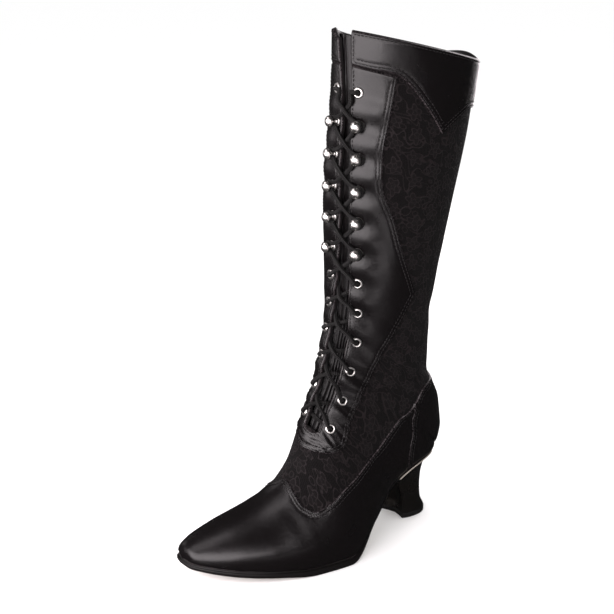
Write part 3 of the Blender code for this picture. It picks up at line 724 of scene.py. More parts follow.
class BootColours(bpy.types.PropertyGroup):
    """Base colours of the boot's finishes."""
    leather: colour("Leather", "Smooth leather", (0.0034, 0.0027, 0.0029))
    # Lighter colour laid near rolled edges: real edge wear, and in part a painted highlight of edges
    # catching light
    leather_worn: colour("Scuffed leather and painted edge highlight", "Leather at scuffed edges, lightened as a painted highlight", (0.060, 0.050, 0.053))
    cloth: colour("Cloth", "Cloth behind the lace", (0.0014, 0.0010, 0.0011))
    lace_thread: colour("Lace thread", "Thread of the floral lace", (0.0090, 0.0063, 0.0069))
    lining: colour("Lining", "Lining and sock", (0.0090, 0.0078, 0.0080))
    thread: colour("Sewing thread", "Stitches", (0.0110, 0.0092, 0.0096))
    cord: colour("Lace cord", "Round lace", (0.0042, 0.0033, 0.0033))
    nickel: colour("Nickel", "Eyelets and hooks", (0.88, 0.86, 0.83))
    heel: colour("Heel", "Covered heel", (0.0042, 0.0034, 0.0030))
    sole_edge: colour("Sole edge", "Painted edge of the sole", (0.0048, 0.0040, 0.0040))
    sole_tread: colour("Sole tread", "Underside of the sole", (0.36, 0.32, 0.28))
    rubber: colour("Top lift", "Rubber under the heel", (0.0060, 0.0056, 0.0056))
    floor: colour("Floor", "Studio floor", (0.92, 0.92, 0.92))


class BootStage(bpy.types.PropertyGroup):
    """Camera and light."""
    camera_place: FloatVectorProperty(name="Camera place", description="Where the camera stands",
                                      default=(0.5836, 0.7138, 0.4922), size=3, unit="LENGTH")
    camera_aim: FloatVectorProperty(name="Camera aim", description="Point that the camera looks at",
                                    default=(0.0640, -0.0566, 0.1778), size=3, unit="LENGTH")
    focal: FloatProperty(name="Focal length", description="Lens in millimetres on a 36 mm sensor",
                         default=70.36)
    fill: FloatProperty(name="Fill", description="Brightness of the white surroundings", default=1.12)
    gloss_fill: FloatProperty(name="Gloss fill", default=0.03,
                              description="Brightness of the surroundings in reflections")


# Shader helpers


def feed(tree, node, inputs):
    """Gives a node its inputs, each a value or another node's output."""
    for key, value in inputs.items():
        if isinstance(value, bpy.types.NodeSocket):
            tree.links.new(value, node.inputs[key])
        else:
            node.inputs[key].default_value = value


def put(tree, kind, inputs, **settings):
    """Outputs of a new node with its settings and inputs."""
    made = tree.nodes.new(kind)
    for key, value in settings.items():
        setattr(made, key, value)
    feed(tree, made, inputs)
    return made.outputs


def sum_up(tree, operation, *values):
    """Output of a Math node."""
    return put(tree, "ShaderNodeMath", dict(enumerate(values)), operation=operation)[0]


def vector_sum(tree, operation, inputs):
    """Outputs of a Vector Math node."""
    return put(tree, "ShaderNodeVectorMath", inputs, operation=operation)


def span(tree, value, low, high, start=0.0, end=1.0, way="LINEAR"):
    """Output of a Map Range node."""
    inputs = {"Value": value, "From Min": low, "From Max": high, "To Min": start, "To Max": end}
    return put(tree, "ShaderNodeMapRange", inputs, interpolation_type=way)["Result"]


def ramp(tree, value, low, high, start=0.0, end=1.0):
    """Output of a smooth Map Range node."""
    return span(tree, value, low, high, start, end, "SMOOTHSTEP")


def noise(tree, place, scale, detail, **more):
    """Outputs of a Noise Texture node."""
    return put(tree, "ShaderNodeTexNoise", {"Vector": place, "Scale": scale, "Detail": detail, **more})


def cells(tree, place, scale, feature="F1", **more):
    """Distance output of a Voronoi Texture node."""
    inputs = {"Vector": place, "Scale": scale, **more}
    return put(tree, "ShaderNodeTexVoronoi", inputs, feature=feature)["Distance"]


def mix_colours(tree, share, first, second):
    """Output of a colour Mix node, whose colours are its inputs 6 and 7."""
    return put(tree, "ShaderNodeMix", {"Factor": share, 6: first, 7: second}, data_type="RGBA")[2]


def new_group(name, inputs, outputs):
    """An empty shader node group with named sockets, and its two end nodes."""
    tree = bpy.data.node_groups.new(name, "ShaderNodeTree")
    for label, default in inputs:
        kind = {tuple: "NodeSocketColor", float: "NodeSocketFloat"}.get(type(default), "NodeSocketVector")
        socket = tree.interface.new_socket(label, in_out="INPUT", socket_type=kind)
        if default is not None:
            socket.default_value = default
    for label in outputs:
        tree.interface.new_socket(label, in_out="OUTPUT", socket_type="NodeSocketFloat")
    return tree, tree.nodes.new("NodeGroupInput").outputs, tree.nodes.new("NodeGroupOutput")


def use_group(tree, name, inputs):
    """Outputs of a placed node group."""
    return put(tree, "ShaderNodeGroup", inputs, node_tree=bpy.data.node_groups[name])


def rgba(value):
    """A colour with full opacity."""
    return (*value, 1.0)


# Grain and wear: rim and share of the pores, scale of the rubbed specks, and edge nearness that is rubbed
# and lightened as a painted highlight
PORE_RIM, PORE_SHARE = 0.16, 0.45
SPECK_SCALE = 90.0
SCUFF_HIGHLIGHT_EDGE = (0.70, 1.0)


def make_grain_group():
    """Pores and fine wrinkles of leather, as a height."""
    inputs = (("Place", None), ("Pores", 150.0), ("Wrinkles", 30.0))
    tree, given, out = new_group("Leather Grain", inputs, ("Height",))
    drift = noise(tree, given["Place"], given["Wrinkles"], 4.0, Roughness=0.55)["Fac"]
    pebble = ramp(tree, cells(tree, given["Place"], given["Pores"], "DISTANCE_TO_EDGE"), 0.0, PORE_RIM)
    feed(tree, out, {"Height": sum_up(tree, "MULTIPLY_ADD", pebble, PORE_SHARE, drift)})


def make_handling_highlight_group():
    """Uneven gloss from handling, and as a mask the rubbed edges, lightened as a painted highlight."""
    inputs = (("Place", None), ("Patches", 6.0), ("Gloss", 0.3), ("Dull", 0.45))
    tree, given, out = new_group("Gloss and Edge Highlight", inputs, ("Roughness", "Scuff Highlight"))
    patches = noise(tree, given["Place"], given["Patches"], 3.0)["Fac"]
    edge = put(tree, "ShaderNodeAttribute", {}, attribute_name="edge")["Fac"]
    speck = noise(tree, given["Place"], SPECK_SCALE, 2.0)["Fac"]
    # Edges lightened in specks: rubbing, and a painted highlight where the edges would catch light
    scuff_highlight = sum_up(tree, "MULTIPLY", ramp(tree, edge, *SCUFF_HIGHLIGHT_EDGE), ramp(tree, speck, 0.35, 0.7))
    gloss = span(tree, patches, 0.3, 0.7, given["Gloss"], given["Dull"])
    feed(tree, out, {"Roughness": gloss, "Scuff Highlight": scuff_highlight})


# Floral lace in cells of 100 mm: a flower's cell and the scales of the sway, stems, leaves, net and twist
FLOWER_CELL = 0.16
SWAY_SCALE, STEM_SCALE, LEAF_SCALE, NET_SCALE, TWIST_SCALE = 7.0, 9.5, 13.0, 85.0, 160.0
SWAY_REACH = (0.05, 0.05, 0.0)

# A flower, in shares of its cell: petals, mean radius and swing of rim and heart, and hatching; then the
# radius of a leaf, and the weights of net, leaves and twist
PETALS = 5.0
PETAL_RADIUS, PETAL_SWING = 0.30, 0.075
HEART_RADIUS, HEART_SWING = 0.12, -0.03
HATCH_LINES, HATCH_SWING, HATCH_MEAN = 35.0, 0.22, 0.28
LEAF_RADIUS = 0.27
NET_SHARE, LEAF_SHARE, TWIST_SHARE = 0.4, 0.8, 0.25


def make_lace_group():
    """Floral lace: five-petalled flowers on scrolling stems over a net, as a thread mask and a height."""
    tree, given, out = new_group("Floral Lace", (("Place", None),), ("Thread", "Height"))
    sway = noise(tree, given["Place"], SWAY_SCALE, 0.0)["Color"]
    place = vector_sum(tree, "MULTIPLY_ADD", {0: sway, 1: SWAY_REACH, 2: given["Place"]})[0]
    scaled = vector_sum(tree, "SCALE", {0: place, "Scale": 1 / FLOWER_CELL})[0]
    axes = put(tree, "ShaderNodeSeparateXYZ", {0: scaled})
    row = sum_up(tree, "FLOOR", axes["Y"])
    slid = sum_up(tree, "MULTIPLY_ADD", row, 0.5, axes["X"])
    column = sum_up(tree, "FLOOR", slid)
    across = sum_up(tree, "SUBTRACT", sum_up(tree, "FRACT", slid), 0.5)
    up = sum_up(tree, "SUBTRACT", sum_up(tree, "FRACT", axes["Y"]), 0.5)

    # Each flower is turned by chance and drawn as a rim, a heart and hatched petals
    cell = put(tree, "ShaderNodeCombineXYZ", {"X": column, "Y": row})[0]
    chance = put(tree, "ShaderNodeTexWhiteNoise", {"Vector": cell}, noise_dimensions="2D")["Value"]
    around = put(tree, "ShaderNodeCombineXYZ", {"X": across, "Y": up})[0]
    radius = vector_sum(tree, "LENGTH", {0: around})["Value"]
    angle = sum_up(tree, "MULTIPLY_ADD", chance, 2 * pi, sum_up(tree, "ARCTAN2", up, across))
    petals = sum_up(tree, "COSINE", sum_up(tree, "MULTIPLY", angle, PETALS))
    rim_radius = sum_up(tree, "MULTIPLY_ADD", petals, PETAL_SWING, PETAL_RADIUS)
    rim = sum_up(tree, "SUBTRACT", radius, rim_radius)
    heart_radius = sum_up(tree, "MULTIPLY_ADD", petals, HEART_SWING, HEART_RADIUS)
    heart = sum_up(tree, "SUBTRACT", radius, heart_radius)
    flower = ramp(tree, rim, 0.02, -0.02)
    outline = ramp(tree, sum_up(tree, "ABSOLUTE", rim), 0.05, 0.015)
    eye = ramp(tree, sum_up(tree, "ABSOLUTE", heart), 0.04, 0.012)
    lines = sum_up(tree, "SINE", sum_up(tree, "MULTIPLY", angle, HATCH_LINES))
    hatch = sum_up(tree, "MULTIPLY_ADD", lines, HATCH_SWING, HATCH_MEAN)
    bloom = sum_up(tree, "MULTIPLY", flower, hatch)

    # Stems and leaves run between the flowers, over a net
    beside = sum_up(tree, "SUBTRACT", 1.0, flower)
    field = noise(tree, place, STEM_SCALE, 0.0, Distortion=0.8)["Fac"]
    stem = sum_up(tree, "ABSOLUTE", sum_up(tree, "SUBTRACT", field, 0.5))
    stem = sum_up(tree, "MULTIPLY", ramp(tree, stem, 0.035, 0.012), beside)
    leaf = sum_up(tree, "ABSOLUTE", sum_up(tree, "SUBTRACT", cells(tree, place, LEAF_SCALE), LEAF_RADIUS))
    leaf = sum_up(tree, "MULTIPLY", ramp(tree, leaf, 0.07, 0.02), beside)
    net = cells(tree, given["Place"], NET_SCALE, "DISTANCE_TO_EDGE", Randomness=0.35)
    thread = sum_up(tree, "MULTIPLY", ramp(tree, net, 0.16, 0.05), NET_SHARE)
    for part in (outline, eye, bloom, stem, sum_up(tree, "MULTIPLY", leaf, LEAF_SHARE)):
        thread = sum_up(tree, "MAXIMUM", thread, part)
    twist = noise(tree, given["Place"], TWIST_SCALE, 2.0)["Fac"]
    feed(tree, out, {"Thread": thread, "Height": sum_up(tree, "MULTIPLY_ADD", twist, TWIST_SHARE, thread)})


def new_material(name):
    """A material with its Principled shader."""
    material = bpy.data.materials.new(name)
    material.use_nodes = True
    return material, material.node_tree, material.node_tree.nodes["Principled BSDF"]


def flat_place(tree):
    """The flat map's coordinates, 1 for 100 mm."""
    return put(tree, "ShaderNodeUVMap", {}, uv_map="surface")["UV"]


def plain_place(tree):
    """Object coordinates, 1 for 100 mm."""
    spot = put(tree, "ShaderNodeTexCoord", {})["Object"]
    return vector_sum(tree, "SCALE", {0: spot, "Scale": 10.0})[0]


def bump(tree, height, strength, distance):
    """Normal output of a Bump node."""
    inputs = {"Height": height, "Strength": strength, "Distance": distance}
    return put(tree, "ShaderNodeBump", inputs)["Normal"]


def shade_of(tint, share):
    """A colour made darker or lighter by a share."""
    return tuple(share * c for c in tint)


# Leathers: scales of pores and wrinkles, bump, roughness where glossy and dull, specular level and coat
Finish = namedtuple("Finish", "pores wrinkles bump gloss dull specular coat")
SMOOTH_LEATHER = Finish(130.0, 26.0, 0.22, 0.17, 0.28, 0.32, 0.05)
SOFT_LEATHER = Finish(110.0, 40.0, 0.35, 0.28, 0.40, 0.26, 0.0)
LINING = Finish(160.0, 30.0, 0.20, 0.32, 0.50, 0.40, 0.0)
HEEL_COVER = Finish(170.0, 14.0, 0.04, 0.26, 0.32, 0.34, 0.15)
SOLE_EDGE = Finish(90.0, 60.0, 0.20, 0.30, 0.45, 0.36, 0.0)
COAT_ROUGHNESS = 0.18
STRAND_SCALE = 260.0


def leather_material(name, tint, look, mapped=True):
    """Grained leather with uneven gloss, and rubbed edges lightened as a painted highlight."""
    scuff_highlight = bpy.context.scene.boot_colours.leather_worn
    material, tree, shader = new_material(name)
    place = flat_place(tree) if mapped else plain_place(tree)
    grain = use_group(tree, "Leather Grain",
                      {"Place": place, "Pores": look.pores, "Wrinkles": look.wrinkles})
    handling_highlight = use_group(tree, "Gloss and Edge Highlight", {"Place": place, "Gloss": look.gloss, "Dull": look.dull})
    feed(tree, shader, {
        # The base colour lightens near rolled edges: wear, and a painted edge highlight
        "Base Color": mix_colours(tree, handling_highlight["Scuff Highlight"], rgba(tint), rgba(scuff_highlight)),
        "Roughness": handling_highlight["Roughness"],
        "Specular IOR Level": look.specular,
        "Coat Weight": look.coat,
        "Coat Roughness": COAT_ROUGHNESS,
        "Normal": bump(tree, grain["Height"], look.bump, 0.0003),
    })
    return material


def fabric_material():
    """Black floral lace over black cloth."""
    colours = bpy.context.scene.boot_colours
    material, tree, shader = new_material("floral_lace_fabric")
    lace = use_group(tree, "Floral Lace", {"Place": flat_place(tree)})
    feed(tree, shader, {
        "Base Color": mix_colours(tree, lace["Thread"], rgba(colours.cloth), rgba(colours.lace_thread)),
        "Roughness": ramp(tree, lace["Thread"], 0.0, 1.0, 0.95, 0.55),
        "Specular IOR Level": 0.10,
        "Sheen Weight": 0.02,
        "Sheen Roughness": 0.5,
        "Normal": bump(tree, lace["Height"], 0.9, 0.0006),
    })
    return material


def cord_material(name, tint, turns, roughness):
    """Twisted or braided cord, with strands running round it and painted shade in the grooves between them.
    """
    material, tree, shader = new_material(name)
    axes = put(tree, "ShaderNodeSeparateXYZ", {0: flat_place(tree)})
    along = sum_up(tree, "MULTIPLY", axes["X"], STRAND_SCALE)
    strands = []
    for hand in (1.0, -1.0):
        turn = sum_up(tree, "MULTIPLY_ADD", axes["Y"], hand * turns * 2 * pi, along)
        strands.append(sum_up(tree, "SINE", turn))
    braid = sum_up(tree, "MULTIPLY", *strands)
    # Darker colour in the grooves between the strands is painted shade
    shade = ramp(tree, braid, -1.0, 1.0)
    feed(tree, shader, {
        "Base Color": mix_colours(tree, shade, rgba(shade_of(tint, 0.45)), rgba(tint)),
        "Roughness": ramp(tree, braid, -1.0, 1.0, roughness + 0.15, roughness),
        "Specular IOR Level": 0.3,
        "Sheen Weight": 0.02,
        "Normal": bump(tree, braid, 0.8, 0.0004),
    })
    return material


def nickel_material():
    """Bright nickel plate with fine scratches and a little tarnish."""
    bright = bpy.context.scene.boot_colours.nickel
    material, tree, shader = new_material("bright_nickel")
    place = plain_place(tree)
    tarnish = noise(tree, place, 30.0, 4.0)["Fac"]
    dim = ramp(tree, tarnish, 0.45, 0.75)
    scratch = noise(tree, place, 220.0, 2.0)["Fac"]
    feed(tree, shader, {
        "Base Color": mix_colours(tree, dim, rgba(bright), rgba(shade_of(bright, 0.62))),
        "Metallic": 1.0,
        "Roughness": ramp(tree, tarnish, 0.3, 0.8, 0.22, 0.42),
        "Normal": bump(tree, scratch, 0.06, 0.0002),
    })
    return material


def rough_material(name, tint, second, scale, roughness, specular):
    """A dull, speckled surface such as rubber or a scuffed tread."""
    material, tree, shader = new_material(name)
    speck = noise(tree, plain_place(tree), scale, 5.0)["Fac"]
    feed(tree, shader, {
        "Base Color": mix_colours(tree, ramp(tree, speck, 0.35, 0.7), rgba(tint), rgba(second)),
        "Roughness": ramp(tree, speck, 0.3, 0.7, roughness, roughness + 0.15),
        "Specular IOR Level": specular,
        "Normal": bump(tree, speck, 0.3, 0.0004),
    })
    return material


def finish(name):
    """A finish by name, made the first time that it is asked for."""
    if name in bpy.data.materials:
        return bpy.data.materials[name]
    colours = bpy.context.scene.boot_colours
    makers = {
        "polished_leather": lambda: leather_material("polished_leather", colours.leather, SMOOTH_LEATHER),
        "pleated_leather": lambda: leather_material("pleated_leather", colours.leather, SOFT_LEATHER),
        "lining_leather": lambda: leather_material("lining_leather", colours.lining, LINING),
        "heel_cover": lambda: leather_material("heel_cover", colours.heel, HEEL_COVER, mapped=False),
        "sole_edge": lambda: leather_material("sole_edge", colours.sole_edge, SOLE_EDGE, mapped=False),
        "floral_lace_fabric": fabric_material,
        "braided_cord": lambda: cord_material("braided_cord", colours.cord, 3.0, 0.55),
        "sewing_thread": lambda: cord_material("sewing_thread", colours.thread, 1.0, 0.45),
        "bright_nickel": nickel_material,
        "sole_tread": lambda: rough_material("sole_tread", colours.sole_tread,
                                             shade_of(colours.sole_tread, 0.75), 14.0, 0.55, 0.4),
        "lift_rubber": lambda: rough_material("lift_rubber", colours.rubber,
                                              shade_of(colours.rubber, 1.8), 60.0, 0.6, 0.3),
    }
    return makers[name]()


def sizes_in_mm():
    """The size settings in millimetres, by name."""
    sizes = bpy.context.scene.boot_sizes
    return {key: getattr(sizes, key) / MM for key in BootSizes.__annotations__}


# Shapes of the leather pieces


TOE_POINTS = 9


def leather_pieces():
    """Edges of each leather piece by its CAD node, and whether it is two halves."""
    vamp_line = curve_path(both_sides(VAMP_LINE))
    vamp_seam = curve_path(shifted(COUNTER_SEAM, -1))
    foot = line_path([(COUNTER_FOOT - SEAM_GAP_T, 1.0), (0.0, 1.0)])
    toe = np.stack([np.zeros(TOE_POINTS), np.linspace(1, -1, TOE_POINTS)], -1)
    vamp = [Edge(vamp_line, True, DOUBLE_ROW), Edge(vamp_seam, True, ()), Edge(foot, False, ()),
            Edge(toe, False, ()), Edge(mirrored(foot), False, ()), Edge(mirrored(vamp_seam), True, ())]

    seam = curve_path(shifted(COUNTER_SEAM[::-1], 1))
    top = curve_path(COUNTER_TOP)
    back = line_path([COUNTER_TOP[-1], (SOLE_END, 1.0)])
    seat = line_path([(SOLE_END, 1.0), (COUNTER_FOOT + SEAM_GAP_T, 1.0)])
    counter = [Edge(seam, True, DOUBLE_ROW), Edge(top, True, DOUBLE_ROW), Edge(back, False, ()),
               Edge(seat, False, ())]

    low, high = BACKSTAY_ENDS
    strip = line_path([(low, 1.0), (low, BACKSTAY_SHARE), (high, BACKSTAY_SHARE), (high, 1.0)])
    backstay = [Edge(strip, True, SINGLE_ROW), Edge(line_path([(high, 1.0), (low, 1.0)]), False, ())]

    collar_throat, cuff_throat = throat_share([COLLAR, CUFF_FRONT_T])
    cuff_front = curve_path([(CUFF_FRONT_T, cuff_throat), *CUFF_FRONT_SEAM])
    cuff = [Edge(cuff_front, True, DOUBLE_ROW), Edge(curve_path(CUFF_BACK_SEAM), True, DOUBLE_ROW),
            Edge(line_path([CUFF_BACK_SEAM[-1], (COLLAR, 1.0)]), False, ()),
            Edge(line_path([(COLLAR, 1.0), (COLLAR, collar_throat)]), True, SINGLE_ROW),
            Edge(line_path([(COLLAR, collar_throat), (CUFF_FRONT_T, cuff_throat)]), True, SINGLE_ROW)]

    gap = 2 * SEAM_GAP_T
    facing_top = line_path([(CUFF_FRONT_T - gap, cuff_throat), *[(t - gap, u) for t, u in FACING_TOP]])
    facing_upper = curve_path([(FACING_UPPER[0][0] - gap, FACING_UPPER[0][1]), *FACING_UPPER[1:]])
    facing_lower = curve_path(FACING_LOWER[:-1] + tuple((t, -u) for t, u in FACING_LOWER[::-1]))
    slot = throat_path(THROAT_BASE + THROAT_ROUNDING[0][0], CUFF_FRONT_T - gap)
    bow = [(THROAT_BASE + rise, share * slot[0][1]) for rise, share in THROAT_ROUNDING]
    bow = curve_path(bow + [(t, -u) for t, u in bow[1::-1]])
    facing = [Edge(slot, True, SINGLE_ROW), Edge(facing_top, True, ()),
              Edge(facing_upper, True, DOUBLE_ROW), Edge(facing_lower, True, DOUBLE_ROW),
              Edge(mirrored(facing_upper), True, DOUBLE_ROW), Edge(mirrored(facing_top), True, ()),
              Edge(mirrored(slot), True, SINGLE_ROW), Edge(bow[::-1], True, SINGLE_ROW)]
    return {"vamp": (vamp, False), "counter": (counter, True), "backstay": (backstay, True),
            "cuff": (cuff, True), "facing": (facing, False)}


def lacing_holes():
    """Sections and shares of the eyelets' holes on both sides."""
    return [(t, side * station_share(t)) for number, t in enumerate(STATION_T, 1)
            if number not in HOOK_STATIONS for side in (1, -1)]


# Operators, each with the sizes of its own pieces

# The upper's mesh: rows along it, columns on a side and across the throat, and rise of its rounded rim
UPPER_ROWS, SIDE_COLUMNS, THROAT_COLUMNS = 230, 64, 9
RIM_RISE = 0.012


class BOOT_OT_upper(bpy.types.Operator):
    """Makes the lace-fabric shell with its lining, open at collar, throat and underneath"""
    bl_idname = "boot.make_upper"
    bl_label = "Upper"

    def execute(self, context):
        wall = sizes_in_mm()["wall"]
        t = np.interp(np.linspace(0, FLAT_RUN[-1], UPPER_ROWS), FLAT_RUN, FLAT_T)
        throat_row = int(np.searchsorted(t, THROAT_BASE))
        throat = throat_share(t)[:, None]
        side = 1 + (throat - 1) * np.linspace(0, 1, SIDE_COLUMNS)
        middle = throat * np.linspace(1, -1, THROAT_COLUMNS)[1:-1]
        u = np.concatenate([side, middle, -side[:, ::-1]], 1)
        count = u.shape[1]
        path = np.stack([np.broadcast_to(t[:, None], u.shape).ravel(), u.ravel()], -1)
        quads = np.array(grid_faces(UPPER_ROWS, count))
        row, column = quads[:, 0] // count, quads[:, 0] % count
        in_slot = (row >= throat_row) & (column >= SIDE_COLUMNS - 1) & (column < count - SIDE_COLUMNS)
        quads = quads[~in_slot]
        path, faces = clean_sheet(path, triangles(quads))
        outer, inner = surface(*path.T), surface(*path.T, -wall)
        count = len(path)
        edges = border_edges(faces)
        rim = np.unique(edges)
        lip_t = np.where(path[rim, 0] > COLLAR - 0.001, path[rim, 0] + RIM_RISE, path[rim, 0])
        lip = surface(lip_t, path[rim, 1], -0.5 * wall)
        place = {v: 2 * count + k for k, v in enumerate(rim.tolist())}
        shell = faces.tolist() + (faces[:, ::-1] + count).tolist()
        for a, b in edges.tolist():
            shell.append((b, a, place[a], place[b]))
            shell.append((place[b], place[a], a + count, b + count))
        picks = np.arange(len(shell)) >= len(faces)
        places = flat(path)
        add_piece("lace_fabric_upper", np.concatenate([outer, inner, lip]), shell,
                  [finish("floral_lace_fabric"), finish("lining_leather")], ["upper"],
                  places=np.concatenate([places, places, places[rim]]), picks=picks)
        return {"FINISHED"}


class BOOT_OT_leather(bpy.types.Operator):
    """Makes the vamp, counter, backstay, cuff and facing with rolled edges and stitch grooves"""
    bl_idname = "boot.make_leather"
    bl_label = "Leather pieces"

    def execute(self, context):
        thickness = sizes_in_mm()["leather"]
        for name, (edges, halves) in leather_pieces().items():
            holes = lacing_holes() if name == "facing" else ()
            points, faces, places, near = drape(edges, thickness, seat_height(name, thickness),
                                                LEATHER_STEPS[name], halves, holes)
            add_piece(f"{name}_leather", points, faces, [finish("polished_leather")],
                      [name], places=places, near=near)
        return {"FINISHED"}


# Pleats of the tongue, its bulge between the facings, and its depth by section as a share of the full one
PLEAT_DEPTH = 0.8
PLEAT_WIDTH = 3.0
TONGUE_BULGE = 2.2
TONGUE_DEPTHS = ((TONGUE_BASE, 1.0), (13.6, 1.0), (16.4, 0.62), (COLLAR, 0.62))
TONGUE_SHARES = ((TONGUE_BASE, 0.10), (10.0, 0.15), (COLLAR, 0.16))
TONGUE_ROWS, TONGUE_COLUMNS = 150, 61


class BOOT_OT_tongue(bpy.types.Operator):
    """Makes the pleated tongue behind the lacing"""
    bl_idname = "boot.make_tongue"
    bl_label = "Tongue"

    def execute(self, context):
        sizes = sizes_in_mm()
        t = np.linspace(TONGUE_BASE, TONGUE_TOP, TONGUE_ROWS)
        half = by_section(TONGUE_SHARES, t)
        u = half[:, None] * np.linspace(1, -1, TONGUE_COLUMNS)
        t_grid = np.broadcast_to(t[:, None], u.shape)
        places = flat(np.stack([t_grid.ravel(), u.ravel()], -1))
        pleat = PLEAT_DEPTH * np.abs(np.sin(pi * places[:, 1].reshape(u.shape) / PLEAT_WIDTH))
        rise = TONGUE_BULGE * np.exp(-(u / (0.5 * throat_share(t)[:, None]))**2)
        depth = sizes["tongue_depth"] * by_section(TONGUE_DEPTHS, t)[:, None] - rise
        normal = skin_normal(t_grid, u)
        base = skin(t_grid, u) - pinch(t_grid, u)[..., None] * normal
        front = base - (depth + pleat)[..., None] * normal
        back = base - (depth + sizes["tongue"])[..., None] * normal
        count = t_grid.size
        sheet = grid_faces(TONGUE_ROWS, TONGUE_COLUMNS)
        faces = sheet + [tuple(v + count for v in f[::-1]) for f in sheet]
        for a, b in border_edges(triangles(np.array(sheet))).tolist():
            faces.append((b, a, a + count, b + count))
        facing_in = np.cross(front[0, 1] - front[0, 0], front[1, 0] - front[0, 0]) @ normal[0, 0] < 0
        if facing_in:
            faces = [f[::-1] for f in faces]
        add_piece("pleated_tongue", np.concatenate([front.reshape(-1, 3), back.reshape(-1, 3)]), faces,
                  [finish("pleated_leather")], ["tongue"], places=np.tile(places, (2, 1)))
        return {"FINISHED"}


# Sole edge, top to bottom: reach past the sole edge, whether measured from the top, and extra height
EdgeStep = namedtuple("EdgeStep", "reach from_top rise")
OUTSOLE_EDGE = (
    EdgeStep(-6.0, True, -0.3), EdgeStep(0.7, True, -0.3), EdgeStep(1.0, True, -0.5),
    EdgeStep(1.05, True, -1.5), EdgeStep(1.25, True, -1.85), EdgeStep(2.1, True, -1.95),
    EdgeStep(2.5, True, -2.1), EdgeStep(2.7, True, -2.5), EdgeStep(2.7, False, 0.9),
    EdgeStep(2.5, False, 0.4), EdgeStep(2.1, False, 0.1), EdgeStep(1.6, False, 0.0),
    EdgeStep(-6.0, False, 0.0),
)
INSOLE_EDGE = (
    EdgeStep(-3.8, True, 0.0), EdgeStep(-3.2, True, -0.5), EdgeStep(-3.0, False, 0.5),
    EdgeStep(-3.2, False, 0.0),
)

# Columns of the tread and of the rubbed lip, which is lightened as a painted highlight, sections of the
# arch whose bevel is pale like the tread, shares of the reach by section, and the insole's ends
TREAD_STEPS = 2
WELT_LIP = (1, 2)
ARCH = (6.6, 9.0)
REACH_SHARES = ((0.0, 1.0), (5.5, 1.0), (8.0, 0.4), (SOLE_END, 0.25))
INSOLE_ENDS = (0.7, 11.7)
END_POINTS, MIDDLE_POINTS, INSOLE_POINTS = 25, 130, 120


def sole_rim(t, reach):
    """Outer and inner points in plan, a reach outside the sole edge."""
    small = 0.01
    sides = []
    for sign in (1, -1):
        def edge(at):
            row = last_rows(np.clip(at, 0, SOLE_END))
            half = row.sole_out if sign > 0 else -row.sole_in
            return np.stack([row.low_x, row.centre + half], -1)
        way = unit(edge(t + small) - edge(t - small))
        normal = sign * np.stack([way[:, 1], -way[:, 0]], -1)
        normal[t <= 0] = (1, 0)
        normal[t >= SOLE_END] = (-1, 0)
        half_width = np.abs(edge(t)[:, 1] - last_rows(t).centre)
        share = by_section(REACH_SHARES, t) if reach > 0 else 1.0
        sides.append(edge(t) + np.maximum(reach * share, -0.9 * half_width)[:, None] * normal)
    return sides


def sole_rings(edge_steps, t, top, bottom):
    """Rings of a slab along the sole, each down the outer edge and up the inner one."""
    outer, inner = [], []
    for step in edge_steps:
        height = (top if step.from_top else bottom) + step.rise
        for ring, plan in zip((outer, inner), sole_rim(t, step.reach)):
            ring.append(np.concatenate([plan, height[:, None]], 1))
    return np.stack(outer + inner[::-1], 1)


def weld_faces(points, faces):
    """Joins points that fall together and drops what collapses."""
    _, first, same = np.unique(np.round(points, 3), axis=0, return_index=True, return_inverse=True)
    same = same.reshape(-1)
    kept, picks = [], []
    for k, face in enumerate(faces):
        ring = [int(same[v]) for v in face]
        ring = [v for i, v in enumerate(ring) if v != ring[i - 1]]
        if len(set(ring)) > 2 and len(set(ring)) == len(ring):
            kept.append(tuple(ring))
            picks.append(k)
    return points[first], kept, picks


def add_outsole():
    """The outsole, with a rubbed lip on its stepped edge lightened as a painted highlight, and a pale
    tread.
    """
    ends = np.linspace(0, 1, END_POINTS)[:-1]**1.5
    t = np.concatenate([ends, np.linspace(1, SOLE_END - 1, MIDDLE_POINTS), SOLE_END - ends[::-1]])
    row = last_rows(t)
    count = 2 * len(OUTSOLE_EDGE)
    rings = sole_rings(OUTSOLE_EDGE, t, row.low_z, row.under_z)
    faces = [f[::-1] for f in grid_faces(len(t), count, ring=True)]
    tread = range(len(OUTSOLE_EDGE) - TREAD_STEPS, len(OUTSOLE_EDGE) + TREAD_STEPS - 1)
    columns = [min((v % count for v in f), key=lambda c: (c + 1) % count) for f in faces]
    # The lip's columns get full edge nearness, so the sole edge finish lightens them: wear, and a painted
    # highlight line
    lip = np.zeros(count)
    lip[[*WELT_LIP, *(count - 1 - c for c in WELT_LIP)]] = 1.0
    lip_scuff_highlight = np.tile(lip, len(t))[:, None]
    points, kept, chosen = weld_faces(np.concatenate([rings.reshape(-1, 3), lip_scuff_highlight], 1), faces)
    bevel = (tread[0] - 1, tread[-1] + 1)
    arched = [ARCH[0] < t[k // count] < ARCH[1] and columns[k] in bevel for k in range(len(faces))]
    picks = [1 if columns[k] in tread or arched[k] else 0 for k in chosen]
    add_piece("unit_outsole", points[:, :3], kept, [finish("sole_edge"), finish("sole_tread")],
              ["outsole"], near=points[:, 3], picks=picks)


def add_insole():
    """The sock over the sole, inside the boot."""
    t = np.linspace(*INSOLE_ENDS, INSOLE_POINTS)
    row = last_rows(t)
    rings = sole_rings(INSOLE_EDGE, t, row.low_z + sizes_in_mm()["insole"], row.low_z)
    points, faces = closed_stack(list(rings))
    add_piece("insole_sock", points, faces, [finish("lining_leather")], ["insole"],
              places=points[:, :2])


